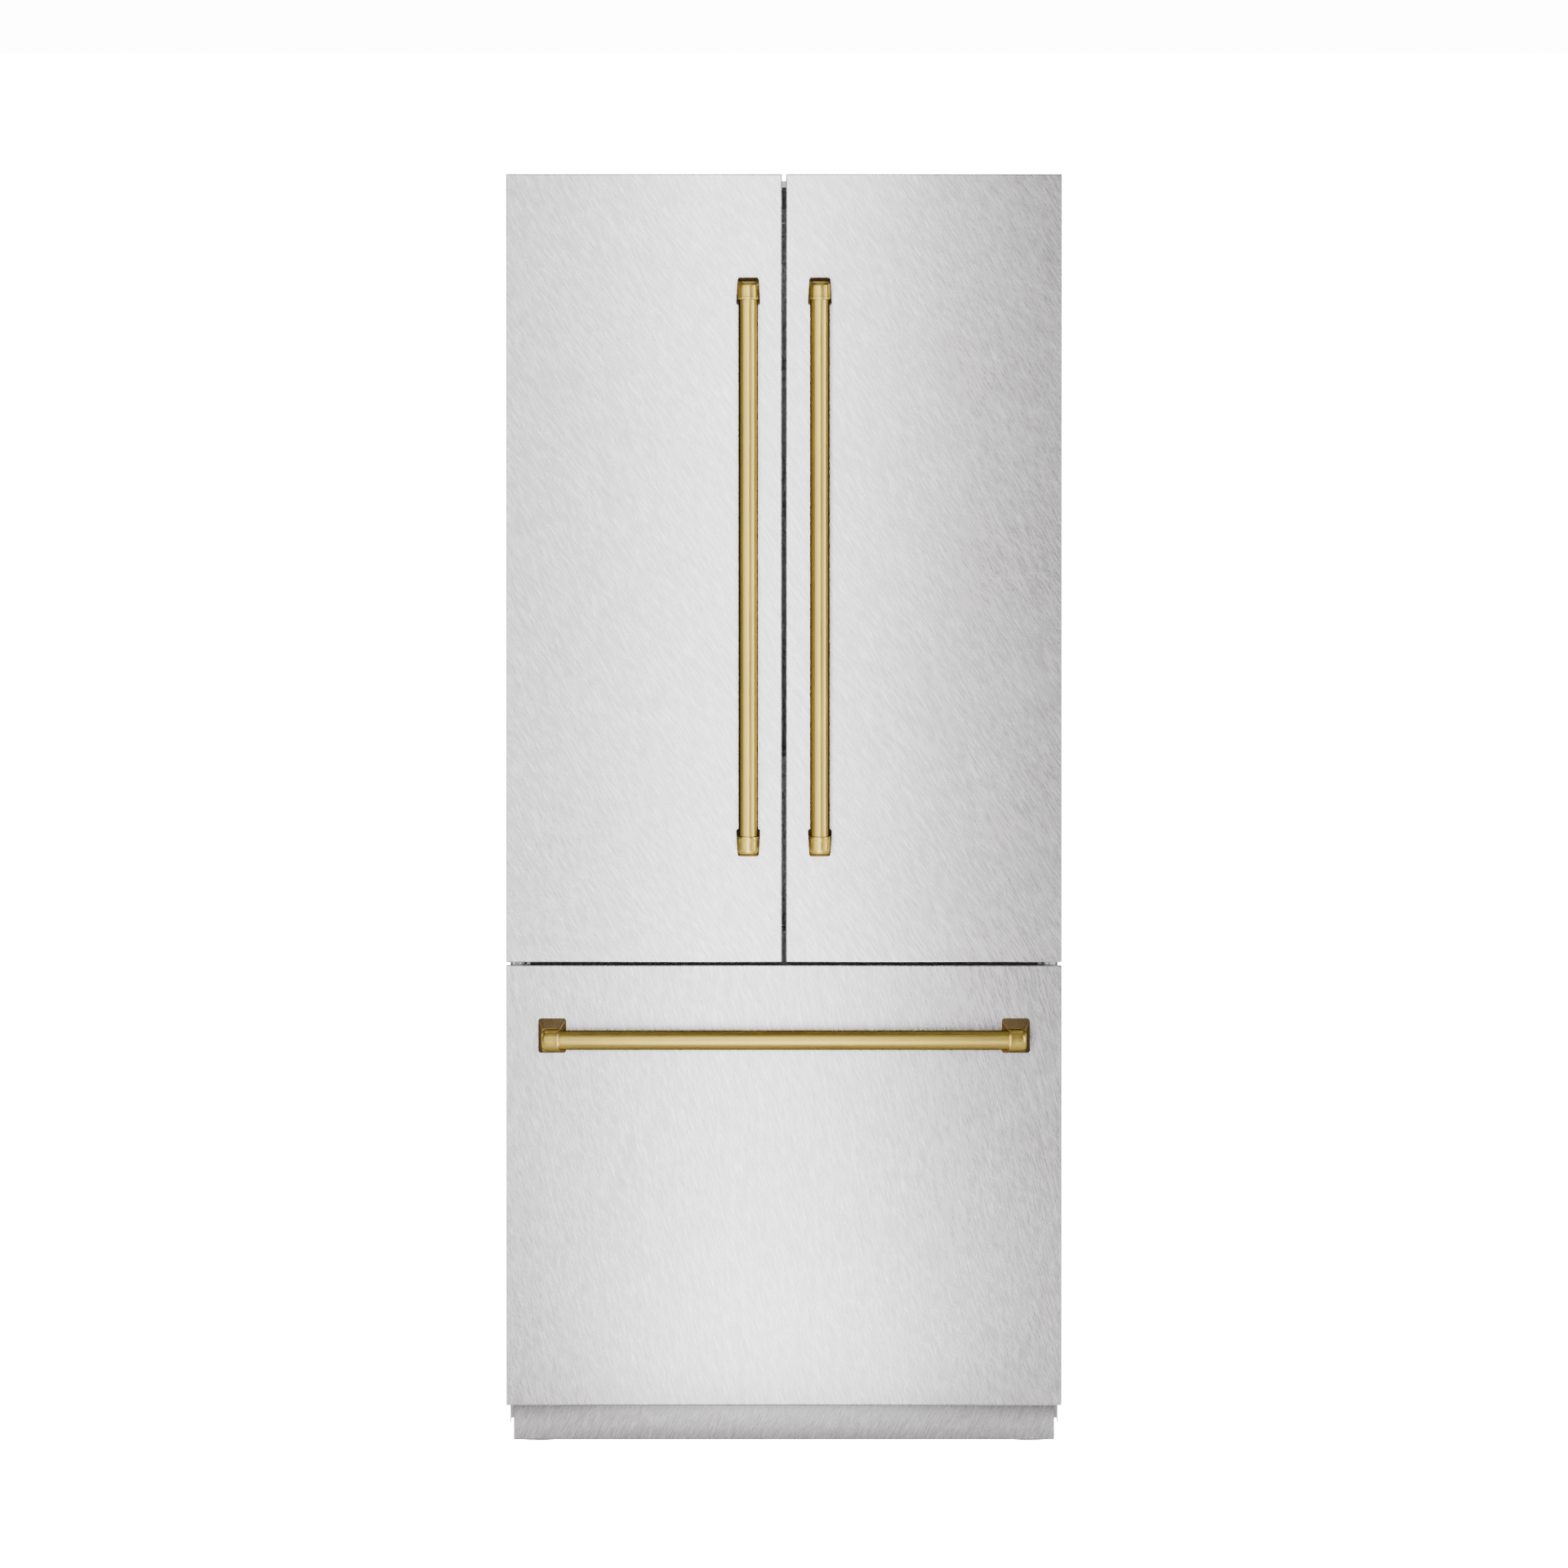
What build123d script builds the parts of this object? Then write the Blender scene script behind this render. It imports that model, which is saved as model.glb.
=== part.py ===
from build123d import *
import os
from math import cos, pi, radians, sin

# French door refrigerator over a freezer drawer. Millimetres; X to the right, Y to the back,
# Z up. The origin is on the floor, in the middle of the width and of the depth over the handles.

# Overall sizes
width = 905.0  # across the door panels
height = 2069.0  # floor to the top of the door panels
front = -351.0  # front of the handles
back = 351.0  # rear of the screw heads on the back
left, right = -1, 1

# Doors and drawer, from front to back
panel_front = -283.0
panel_back = -263.0
core_back = -218.0
gasket_back = -204.4
face = -204.0  # front plane of the cabinet
door_gap = 6.5
door_bottom = 785.0
drawer_top = 780.0
drawer_bottom = 62.5
panel_steel = 1.2
panel_edge_radius = 2.0
core_half_width = 444.0
core_free_edge = 6.0
door_core_z = (790.0, 2041.0)
drawer_core_z = (75.0, 775.0)

# Door hinges
pivot_x = 430.5
pivot_y = -240.0
pin_radius = 6.0
running_gap = 0.05
hinge_pin_length = 24.0

# Cabinet
cabinet_half_width = 446.5
cabinet_bottom = 30.0
cabinet_top = 2046.0
shell_steel = 1.2
face_steel = 2.5
face_back = face + face_steel
foam_back = 348.0
rear_sheet = 1.0
sheet_back = foam_back + rear_sheet
floor_top = 60.0
machine_front = 140.0
machine_top = 285.0
sheet = 1.5
deck_z = (30.0, 33.0)

# Compartments, outside of the liners
liner_wall = 2.5
liner_half_width = 410.0
liner_back = 285.0
fridge_z = (830.0, 1989.0)
freezer_z = (130.0, 752.0)
freezer_step_y = 105.0
freezer_step_z = 320.0
inner_half_width = liner_half_width - liner_wall
inner_back = liner_back - liner_wall

# Gaskets
gasket_width = 16.0
gasket_lip = 12.0
gasket_lip_start = -212.0
door_gasket_x = (8.0, 430.5)
door_gasket_z = (811.0, 2007.0)
drawer_gasket_half_width = 430.5
drawer_gasket_z = (110.0, 771.0)

# Handles: a round bar held by a square collar post at each end
bar_radius = 16.0
collar_size = 37.0
collar_length = 29.0
collar_corner = 6.0
post_inset = -2.5  # a foot reaches further towards the middle of the bar
door_foot = (46.0, 40.0, 0.0)  # along the bar, across it, and how far its middle is raised
drawer_foot = (46.0, 57.0, 5.5)
door_flare = ((0.0, 1.0), (5.0, 0.6), (13.0, 0.2))  # distance from the panel, share of the flare
drawer_flare = ((0.0, 1.0),)
post_corner = 3.0
socket_depth = 23.0
outward = (0, -1, 0)
bar_y = front + collar_size / 2
door_bar_x = 58.3
door_handle_z = (957.0, 1901.0)
drawer_handle_half_length = 400.5
drawer_handle_z = 660.0

# Raised ring on each door liner and the bins that hang in it
ring_x = (40.0, 402.0)
ring_z = (845.0, 1970.0)
ring_width = 16.0
ring_back = -160.0
bin_x = (59.0, 383.0)
bin_wall = 3.0
bin_corner = 18.0
bins = [(870.0, 110.0, -163.0), (1190.0, 120.0, -112.0), (1560.0, 120.0, -112.0)]

# Flipper mullion between the doors, folded back at rest
flipper_axis = (-24.0, -192.0)
flipper_x = (-30.5, -12.5)
flipper_y = (-196.0, -146.0)
flipper_z = (860.0, 1955.0)
flipper_pin_radius = 3.0
flipper_pin_length = 14.0
lug_gap = 1.5
lug_height = 8.0

# Shelves
track_z = (1130.0, 1960.0)
track_x = (386.0, 14.0)
track_width = 12.0
track_y = (256.0, 262.0)
slot_pitch = 30.0
slot_first_z = 1150.0
slot_count = 27
shelf_x = (12.0, 396.0)
shelf_y = (-88.0, 250.0)
shelf_drop = 25.0  # a shelf's top over the middle of the slot that it hooks into
shelf_slots = {left: (6, 14, 22), right: (8, 15, 22)}
glass = 4.0
arm_width = 2.4
arm_height = 36.0
trim_height = 14.0

# Crispers
crisper_front = -40.0
crisper_back = 240.0
crisper_x = (20.0, 388.0)
crisper_z = (845.0, 1060.0)
crisper_wall = 3.0
crisper_corner = 8.0
ledge_z = (1050.0, 1056.0)
cover_z = (1100.0, 1112.0)

# Drawer slides: three nested members on each side of the freezer
slide_y = (-195.0, 180.0)
slide_members = {
    "outer": ((396.0, 407.3), (405.0, 455.0), left),
    "middle": ((393.5, 404.1), (407.2, 452.8), left),
    "inner": ((390.5, 401.8), (409.5, 450.5), right),
}
arm_x = (387.5, 390.5)
basket_rim_z = (450.5, 454.5)
lower_bin_y = (-190.0, 90.0)
lower_bin_x = 350.0
lower_bin_bottom = 150.0
tray_y = (-190.0, 60.0)
tray_x = 372.0
tray_z = (455.0, 590.0)
basket_wall = 3.0

# Machine compartment
compressor_at = (-255.0, 245.0)
compressor_radius = 78.0
compressor_height = 165.0
fan_at = (30.0, 245.0, 150.0)
fan_radius = 68.0
condenser_x = (95.0, 320.0)
condenser_rows = (205.0, 245.0, 285.0)
condenser_z = (64.0, 240.0)
inlet_at = (-380.0, 110.0)
inlet_size = (50.0, 30.0)
valve_at = (352.0, 130.0)
hose_thread_radius = 13.2
hose_thread_length = 14.0
anti_tip_hole_radius = 3.5
anti_tip_hole_x = 120.0
shaft_radius = 3.0

# Screws of the rear sheets
screw_head_radius = 4.5
screw_shank_radius = 2.0
screw_hole_radius = 2.2
screw_depth = 10.0
cover_overlap = 15.0  # the machine cover laps over the foam above its compartment
screw_rows = {
    "upper": (machine_top + cover_overlap + 12, 700.0, 1200.0, 1700.0, cabinet_top - 10),
    "cover": (deck_z[1] + 8, machine_top + 8),
}

# Feet and rollers
foot_at = (400.0, -150.0)
foot_radius = 25.0
stem_radius = 6.0
roller_x = (390.0, 412.0)
roller_at = (300.0, 25.0)
roller_radius = 25.0
axle_radius = 5.0

# Freezer's back wall, ice maker and ceiling parts
evaporator_cover_y = (190.0, 282.0)
evaporator_fan_at = (0.0, 215.0, 655.0)
evaporator_fan_radius = 46.0
ice_maker_x = (-385.0, -255.0)
ice_maker_y = (-50.0, 110.0)
ice_maker_z = (630.0, 735.0)
ice_pivot = (-5.0, 700.0)
filter_at = (300.0, 1948.0)
filter_radius = 27.0
filter_y = (-90.0, 90.0)
filter_neck_radius = 16.0


def block(x, y, z, mode=Mode.ADD):
    """The box between two values on each axis."""
    with Locations(((x[0] + x[1]) / 2, (y[0] + y[1]) / 2, (z[0] + z[1]) / 2)):
        Box(abs(x[1] - x[0]), abs(y[1] - y[0]), abs(z[1] - z[0]), mode=mode)


def rod(radius, start, direction, length, mode=Mode.ADD):
    """A cylinder from a point, along a direction."""
    with Locations(Plane(origin=start, z_dir=direction)):
        Cylinder(radius, length, align=(Align.CENTER, Align.CENTER, Align.MIN), mode=mode)


def both(x):
    """A span across the middle, from -x to x."""
    return (-x, x)


def grown(span, amount):
    """A span made longer at both ends, or shorter where the amount is negative."""
    low, high = min(span), max(span)
    return (low - amount, high + amount)


def sided(side, span):
    """A span on the left or right half."""
    return (side * span[0], side * span[1])


def save(piece, name):
    """Label a finished piece and write it."""
    piece.part.label = name
    export_step(piece.part, f"parts/{name}.step")


def open_box(x, y, z, wall, corner):
    """A bin with a floor and four walls, open at the top, with round upright corners."""
    middle = ((x[0] + x[1]) / 2, (y[0] + y[1]) / 2)
    wide, deep = abs(x[1] - x[0]), abs(y[1] - y[0])
    with BuildSketch(Plane.XY.offset(z[0])) as outside:
        with Locations(middle):
            RectangleRounded(wide, deep, corner)
    extrude(outside.sketch, amount=z[1] - z[0])
    with BuildSketch(Plane.XY.offset(z[0] + wall)) as inside:
        with Locations(middle):
            RectangleRounded(wide - 2 * wall, deep - 2 * wall, corner - wall)
    extrude(inside.sketch, amount=z[1] - z[0], mode=Mode.SUBTRACT)


def ring(x, y, z, band):
    """A rectangular ring that faces the front."""
    block(x, y, z)
    block(grown(x, -band), grown(y, 1), grown(z, -band), mode=Mode.SUBTRACT)


# Cabinet


def cabinet_shell():
    """Folded wrapper: two sides and the top."""
    with BuildPart() as shell:
        block(both(cabinet_half_width), (face_back, foam_back), (cabinet_bottom, cabinet_top))
        block(
            both(cabinet_half_width - shell_steel),
            grown((face_back, foam_back), 1),
            (cabinet_bottom - 1, cabinet_top - shell_steel),
            mode=Mode.SUBTRACT,
        )
    save(shell, "cabinet_shell")


def front_frame():
    """Face plate round both openings, with a folded channel behind the centre rail."""
    rail_z = (freezer_z[1] + 13, fridge_z[0] - 13)
    rail_y = (face_back, face_back + 21)
    with BuildPart() as frame:
        block(both(cabinet_half_width), (face, face_back), (floor_top, cabinet_top))
        for opening in (fridge_z, freezer_z):
            block(both(liner_half_width), grown((face, face_back), 1), opening, Mode.SUBTRACT)
        block(both(400), rail_y, rail_z)
        block(both(401), (rail_y[0], rail_y[1] - sheet), grown(rail_z, -sheet), Mode.SUBTRACT)
    save(frame, "front_frame")


def top_trim():
    """Cover strip over the face frame's top edge, between the hinges."""
    strip_y = (face - 10, face)
    with BuildPart() as trim:
        block(both(395), strip_y, (2011, cabinet_top))
        fillet(trim.edges().filter_by(Axis.X).group_by(Axis.Y)[0], 1.5)
        block(both(392), (strip_y[0] + 2.5, strip_y[1]), (2014, cabinet_top - 3), Mode.SUBTRACT)
    save(trim, "top_trim")


def cabinet_foam():
    """Insulation between the shell, the frame and the liners."""
    half = cabinet_half_width - shell_steel
    rail_z = (freezer_z[1] + 13, fridge_z[0] - 13)
    with BuildPart() as foam:
        block(both(half), (face_back, foam_back), (floor_top, cabinet_top - shell_steel))
        block(both(half), (machine_front - sheet, foam_back), (floor_top, machine_top), Mode.SUBTRACT)
        block(both(liner_half_width), (face_back, liner_back), fridge_z, Mode.SUBTRACT)
        block(both(liner_half_width), (face_back, freezer_step_y), freezer_z, Mode.SUBTRACT)
        upper = (freezer_step_z, freezer_z[1])
        block(both(liner_half_width), (face_back, liner_back), upper, Mode.SUBTRACT)
        block(both(400), (face_back, face_back + 21), rail_z, Mode.SUBTRACT)
        screw_holes(foam_back, screw_depth)
    save(foam, "cabinet_foam")


def fridge_liner():
    """Open-fronted food liner of the upper compartment."""
    with BuildPart() as liner:
        block(both(liner_half_width), (face_back, liner_back), fridge_z)
        inside_y = (face_back - 1, inner_back)
        block(both(inner_half_width), inside_y, grown(fridge_z, -liner_wall), Mode.SUBTRACT)
    save(liner, "fridge_liner")


def freezer_liner():
    """Open-fronted liner that steps over the machine compartment."""
    wall = liner_wall
    low, high = freezer_z
    with BuildPart() as liner:
        block(both(liner_half_width), (face_back, freezer_step_y), freezer_z)
        block(both(liner_half_width), (face_back, liner_back), (freezer_step_z, high))
        inside = both(inner_half_width)
        lower_y = (face_back - 1, freezer_step_y - wall)
        block(inside, lower_y, (low + wall, high - wall), Mode.SUBTRACT)
        upper_y = (face_back - 1, inner_back)
        block(inside, upper_y, (freezer_step_z + wall, high - wall), Mode.SUBTRACT)
    save(liner, "freezer_liner")


def screw_places():
    """Where the rear sheets are screwed on."""
    places = []
    for z in screw_rows["upper"]:
        ends = z in (screw_rows["upper"][0], screw_rows["upper"][-1])
        columns = (-436, -218, 0, 218, 436) if ends else (-436, 436)
        places += [(x, z) for x in columns]
    for z in screw_rows["cover"]:
        places += [(x, z) for x in (-430, -215, 0, 215, 430)]
    return places


def screw_holes(start, depth):
    """Holes for the rear screws, from a plane forwards."""
    for x, z in screw_places():
        rod(screw_hole_radius, (x, start + 1, z), outward, depth + 1, Mode.SUBTRACT)


def cabinet_screws():
    """Pan-head screws of the rear sheets."""
    with BuildPart() as screws:
        for x, z in screw_places():
            rod(screw_head_radius, (x, sheet_back, z), (0, 1, 0), back - sheet_back)
            rod(screw_shank_radius, (x, sheet_back + 0.5, z), outward, screw_depth)
        rims = screws.edges().group_by(Axis.Y)[-1]
        fillet(rims, 1.2)
    save(screws, "cabinet_screws")


def back_panel():
    """Rear sheet over the foam."""
    with BuildPart() as panel:
        panel_z = (machine_top + cover_overlap + 1, cabinet_top)
        block(both(cabinet_half_width), (foam_back, sheet_back), panel_z)
        screw_holes(sheet_back, rear_sheet + 1)
    save(panel, "back_panel")


def machine_cover():
    """Louvred sheet over the machine compartment, open round the inlet and the valve."""
    cover_half_width = cabinet_half_width - 1
    slot = (44.0, 5.0)
    louvre_columns = (-90.0, -30.0, 30.0, 90.0, 150.0, 210.0, 270.0)
    louvre_rows = [70.0 + 16 * row for row in range(11)]
    with BuildPart() as cover:
        cover_z_span = (deck_z[1], machine_top + cover_overlap)
        block(both(cover_half_width), (foam_back, sheet_back), cover_z_span)
        screw_holes(sheet_back, rear_sheet + 1)
        with BuildSketch(Plane.XZ.offset(-sheet_back)) as openings:
            with Locations([(x, z) for x in louvre_columns for z in louvre_rows]):
                SlotOverall(*slot)
            with Locations(inlet_at):
                Rectangle(inlet_size[0] + 0.6, inlet_size[1] + 0.6)
            with Locations(valve_at):
                Circle(24)
        extrude(openings.sketch, amount=rear_sheet, mode=Mode.SUBTRACT)
    save(cover, "machine_cover")


def base_frame():
    """Chassis: floor sheet, front rail, riser and deck, with foot bosses and roller brackets."""
    half = cabinet_half_width - shell_steel
    boss_z = (36.0, floor_top - 2)
    with BuildPart() as base:
        block(both(half), (face_back, machine_front), (floor_top - 2, floor_top))
        block(both(half), (face_back, face_back + 2), (38, floor_top - 2))
        block(both(half), (machine_front - sheet, machine_front), (deck_z[1], machine_top))
        block(both(half), (machine_front, foam_back), (machine_top - sheet, machine_top))
        block(both(half), (machine_front - sheet, foam_back), deck_z)
        block(both(half), (foam_back - sheet, foam_back), (deck_z[1], deck_z[1] + 16))
        screw_holes(foam_back, sheet + 1)
        for side in (left, right):
            rail_x = sided(side, (half - 25, half))
            block(rail_x, (face_back, machine_front), (38, floor_top - 2))
            boss_x = (side * foot_at[0] - 15, side * foot_at[0] + 15)
            block(boss_x, (foot_at[1] - 15, foot_at[1] + 15), boss_z)
            foot = (side * foot_at[0], foot_at[1], boss_z[0] - 1)
            rod(stem_radius + running_gap, foot, (0, 0, 1), boss_z[1] - boss_z[0] - 2, Mode.SUBTRACT)
            well_x = sided(side, grown(roller_x, 4))
            well_y = (roller_at[0] - roller_radius - 4, roller_at[0] + roller_radius + 4)
            block(well_x, well_y, grown(deck_z, 1), Mode.SUBTRACT)
            for edge in (roller_x[0] - 7, roller_x[1] + 4):
                plate_x = sided(side, (edge, edge + 3))
                block(plate_x, (roller_at[0] - 14, roller_at[0] + 14), (12, 60))
            axle = (side * (roller_x[0] - 8), roller_at[0], roller_at[1])
            rod(axle_radius + running_gap, axle, (side, 0, 0), 38, Mode.SUBTRACT)
        with Locations((-anti_tip_hole_x, 330, deck_z[1]), (anti_tip_hole_x, 330, deck_z[1])):
            Hole(anti_tip_hole_radius)
    save(base, "base_frame")


def toe_kick():
    """Kick plate under the drawer, folded back along its lower edge."""
    kick_z = (8.5, 96.0)
    kick_y = (face - 4, face)
    half = 441.0
    with BuildPart() as kick:
        with BuildSketch(Plane.XZ.offset(-kick_y[1])) as outline:
            with Locations((0, (kick_z[0] + kick_z[1]) / 2)):
                Rectangle(2 * half, kick_z[1] - kick_z[0])
            chamfer(outline.vertices().group_by(Axis.Y)[0], 3.5)
        extrude(outline.sketch, amount=kick_y[1] - kick_y[0])
        hollow_z = (kick_z[0] + sheet, kick_z[1] - sheet)
        block(both(half - sheet), (kick_y[0] + sheet, kick_y[1]), hollow_z, Mode.SUBTRACT)
        block(both(half - 20), (kick_y[0] + sheet, face_back + 10), (kick_z[0], kick_z[0] + sheet))
    save(kick, "toe_kick")


def feet():
    """Front levelling feet: a pad, a hexagon for the spanner and a stem."""
    for side, name in ((left, "foot_left"), (right, "foot_right")):
        x, y = side * foot_at[0], foot_at[1]
        with BuildPart() as foot:
            rod(foot_radius, (x, y, 0), (0, 0, 1), 8)
            fillet(foot.edges().group_by(Axis.Z)[-1], 3)
            with BuildSketch(Plane.XY.offset(8)) as nut:
                with Locations((x, y)):
                    RegularPolygon(13, 6)
            extrude(nut.sketch, amount=8)
            rod(stem_radius, (x, y, 16), (0, 0, 1), 38)
        save(foot, name)


def rear_rollers():
    """Two rollers with stub axles, on one line."""
    with BuildPart() as rollers:
        for side in (left, right):
            middle = (roller_x[0] + roller_x[1]) / 2
            with BuildSketch(Plane.YZ.offset(side * middle)) as wheel:
                with Locations(roller_at):
                    Circle(roller_radius)
            extrude(wheel.sketch, amount=(roller_x[1] - roller_x[0]) / 2, both=True)
            stub = (side * (roller_x[0] - 7), *roller_at)
            rod(axle_radius, stub, (side, 0, 0), roller_x[1] - roller_x[0] + 14)
        rims = rollers.edges().filter_by(GeomType.CIRCLE)
        fillet(rims.filter_by(lambda rim: abs(rim.radius - roller_radius) < 0.1), 3)
    save(rollers, "rear_rollers")


def hinge_brackets():
    """Top and centre hinge plates with the pins that the doors turn on."""
    hub = 12.0
    arm = (pivot_x - 15, pivot_x + 5)
    top_plate = (cabinet_top, cabinet_top + 5)
    centre_plate = (781.0, 787.0)
    with BuildPart() as brackets:
        for side in (left, right):
            x = side * pivot_x
            rod(hub, (x, pivot_y, top_plate[0]), (0, 0, 1), 5)
            block(sided(side, arm), (pivot_y, -120), top_plate)
            pin_top = (x, pivot_y, top_plate[0])
            rod(pin_radius, pin_top, (0, 0, -1), cabinet_top - door_core_z[1] + hinge_pin_length)
            rod(hub, (x, pivot_y, centre_plate[0]), (0, 0, 1), 6)
            block(sided(side, arm), (pivot_y, face - 3), centre_plate)
            block(sided(side, (pivot_x - 17, pivot_x + 10)), (face - 3, face), (776, 802))
            pin_bottom = (x, pivot_y, centre_plate[1])
            rod(pin_radius, pin_bottom, (0, 0, 1), door_core_z[0] - centre_plate[1] + hinge_pin_length)
    save(brackets, "hinge_brackets")


# Machine compartment


def compressor():
    """Hermetic compressor: a domed pot on a mounting plate with four grommets."""
    x, y = compressor_at
    base = deck_z[1] + 14
    with BuildPart() as pot:
        rod(compressor_radius, (x, y, base), (0, 0, 1), compressor_height)
        fillet(pot.edges().group_by(Axis.Z)[-1], 44)
        fillet(pot.edges().group_by(Axis.Z)[0], 20)
        weld_z = base + compressor_height * 0.45
        rod(compressor_radius + 4, (x, y, weld_z), (0, 0, 1), 5)
        block((x - 90, x + 90), (y - 50, y + 50), (base - 4, base + 2))
        for dx, dy in ((-76, -38), (76, -38), (-76, 38), (76, 38)):
            rod(9, (x + dx, y + dy, deck_z[1]), (0, 0, 1), 14)
        block((x + 55, x + 92), (y - 25, y + 25), (base + 30, base + 85))
    save(pot, "compressor")


def condenser_coil():
    """Serpentine tubes in three rows, held by two end plates."""
    tube_radius = 3.0
    runs = 8
    pitch = (condenser_z[1] - condenser_z[0]) / (runs - 1)
    with BuildPart() as coil:
        for row_y in condenser_rows:
            points = []
            for run in range(runs):
                z = condenser_z[0] + run * pitch
                ends = condenser_x if run % 2 == 0 else condenser_x[::-1]
                points += [(ends[0], row_y, z), (ends[1], row_y, z)]
            with BuildLine() as path:
                FilletPolyline(*points, radius=pitch / 2 - 0.5)
            with BuildSketch(Plane(origin=path.line @ 0, z_dir=path.line % 0)) as section:
                Circle(tube_radius)
            sweep(section.sketch, path=path.line)
        for x in (condenser_x[0] + 30, condenser_x[1] - 32):
            rows = (condenser_rows[0] - 10, condenser_rows[-1] + 10)
            block((x, x + 2), rows, (condenser_z[0] - 12, condenser_z[1] + 10))
    save(coil, "condenser_coil")


def fan_shroud():
    """Plate with the fan's opening, a motor and the three arms that carry it."""
    x, y, z = fan_at
    with BuildPart() as shroud:
        block((x, x + 6), (y - 95, y + 95), (deck_z[1], z + 90))
        rod(fan_radius + 5, (x - 1, y, z), (1, 0, 0), 8, Mode.SUBTRACT)
        rod(24, (x - 34, y, z), (1, 0, 0), 30)
        rod(shaft_radius, (x - 5, y, z), (1, 0, 0), 28)
        for turn in range(3):
            angle = turn * 2 * pi / 3 + pi / 2
            start = (x - 12, y + 18 * cos(angle), z + 18 * sin(angle))
            rod(3, start, (0, cos(angle), sin(angle)), fan_radius - 6)
            foot = (x - 12, y + 80 * cos(angle), z + 80 * sin(angle))
            rod(4, foot, (1, 0, 0), 14)
    save(shroud, "fan_shroud")


def axial_fan(start, axis, radius, hub, depth):
    """Five pitched blades on a hub that is bored for the motor's shaft."""
    count, pitch, chord, thickness = 5, radians(32), 26.0, 2.0
    start, axis = Vector(start), Vector(axis)
    rod(hub, start, axis, depth)
    for blade in range(count):
        radial = Vector(0, 0, 1).rotate(Axis((0, 0, 0), axis), blade * 360 / count)
        tangent = axis.cross(radial)
        middle = start + radial * ((hub + radius) / 2 - 1) + axis * (depth / 2)
        normal = axis * cos(pitch) + tangent * sin(pitch)
        with Locations(Plane(origin=middle, x_dir=radial, z_dir=normal)):
            Box(radius - hub + 2, chord, thickness)
    rod(shaft_radius + running_gap, start - axis, axis, depth, Mode.SUBTRACT)


def condenser_fan():
    """Axial fan in front of its motor."""
    x, y, z = fan_at
    with BuildPart() as fan:
        axial_fan((x + 9, y, z), (1, 0, 0), fan_radius, 18, 18)
    save(fan, "condenser_fan")


def drain_pan():
    """Pan that catches the defrost water under the condenser."""
    with BuildPart() as pan:
        open_box((75, 330), (165, 325), (deck_z[1], deck_z[1] + 18), 2, 12)
    save(pan, "drain_pan")


def water_valve():
    """Inlet valve: a bracket, a body, a coil and the hose stub at the back."""
    x, z = valve_at
    with BuildPart() as valve:
        rod(hose_thread_radius, (x, foam_back - 2, z), outward, hose_thread_length)
        rod(20, (x, foam_back - 2 - hose_thread_length, z), outward, 8)
        block((x - 16, x + 16), (285, 328), (z - 16, z + 16))
        rod(13, (x, 305, z + 16), (0, 0, 1), 34)
        block((x - 12, x + 12), (296, 316), (deck_z[1], z - 16))
        rod(6, (x, foam_back - 1, z), outward, 20, Mode.SUBTRACT)
    save(valve, "water_valve")


def power_inlet():
    """Recessed mains inlet with three flat contacts."""
    x, z = inlet_at
    wide, tall = inlet_size
    with BuildPart() as inlet:
        block((x - wide / 2, x + wide / 2), (320, sheet_back), (z - tall / 2, z + tall / 2))
        pocket_x = (x - wide / 2 + 5, x + wide / 2 - 5)
        block(pocket_x, (332, back), (z - tall / 2 + 4, z + tall / 2 - 4), Mode.SUBTRACT)
        for dx, dz in ((-12, -3), (0, 3), (12, -3)):
            block((x + dx - 1, x + dx + 1), (332, sheet_back - 4), (z + dz - 3, z + dz + 3))
        block((x - 10, x + 10), (300, 320), (z - 10, z + 10))
    save(inlet, "power_inlet")


# Fridge interior


def rear_duct():
    """Shallow cover over the back wall with rows of air slots."""
    duct_z = (1120.0, 1980.0)
    duct_y = (262.0, inner_back)
    with BuildPart() as duct:
        block(both(403), duct_y, duct_z)
        block(both(400), (duct_y[0] + 3, duct_y[1]), grown(duct_z, -3), Mode.SUBTRACT)
        with BuildSketch(Plane.XZ.offset(-duct_y[0] - 4)) as vents:
            for column in (-250, -150, 150, 250):
                for z in (1250, 1490, 1730, 1900):
                    for line in range(4):
                        with Locations((column, z + 12 * line)):
                            SlotOverall(60, 5)
        extrude(vents.sketch, amount=5, mode=Mode.SUBTRACT)
    save(duct, "rear_duct")


def shelf_tracks():
    """Four slotted ladder strips on the rear duct."""
    with BuildPart() as tracks:
        for side in (left, right):
            for centre in track_x:
                x = side * centre
                block((x - track_width / 2, x + track_width / 2), track_y, track_z)
                with BuildSketch(Plane.XZ.offset(-track_y[1] - 1)) as slots:
                    with Locations((x, slot_first_z + slot_pitch * (slot_count - 1) / 2)):
                        with GridLocations(1, slot_pitch, 1, slot_count):
                            Rectangle(3.6, 20)
                extrude(slots.sketch, amount=track_y[1] - track_y[0] + 2, mode=Mode.SUBTRACT)
    save(tracks, "shelf_tracks")


def shelf_top(slot):
    """Height of a shelf's glass that hooks into a slot."""
    return slot_first_z + slot_pitch * slot + shelf_drop


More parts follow.
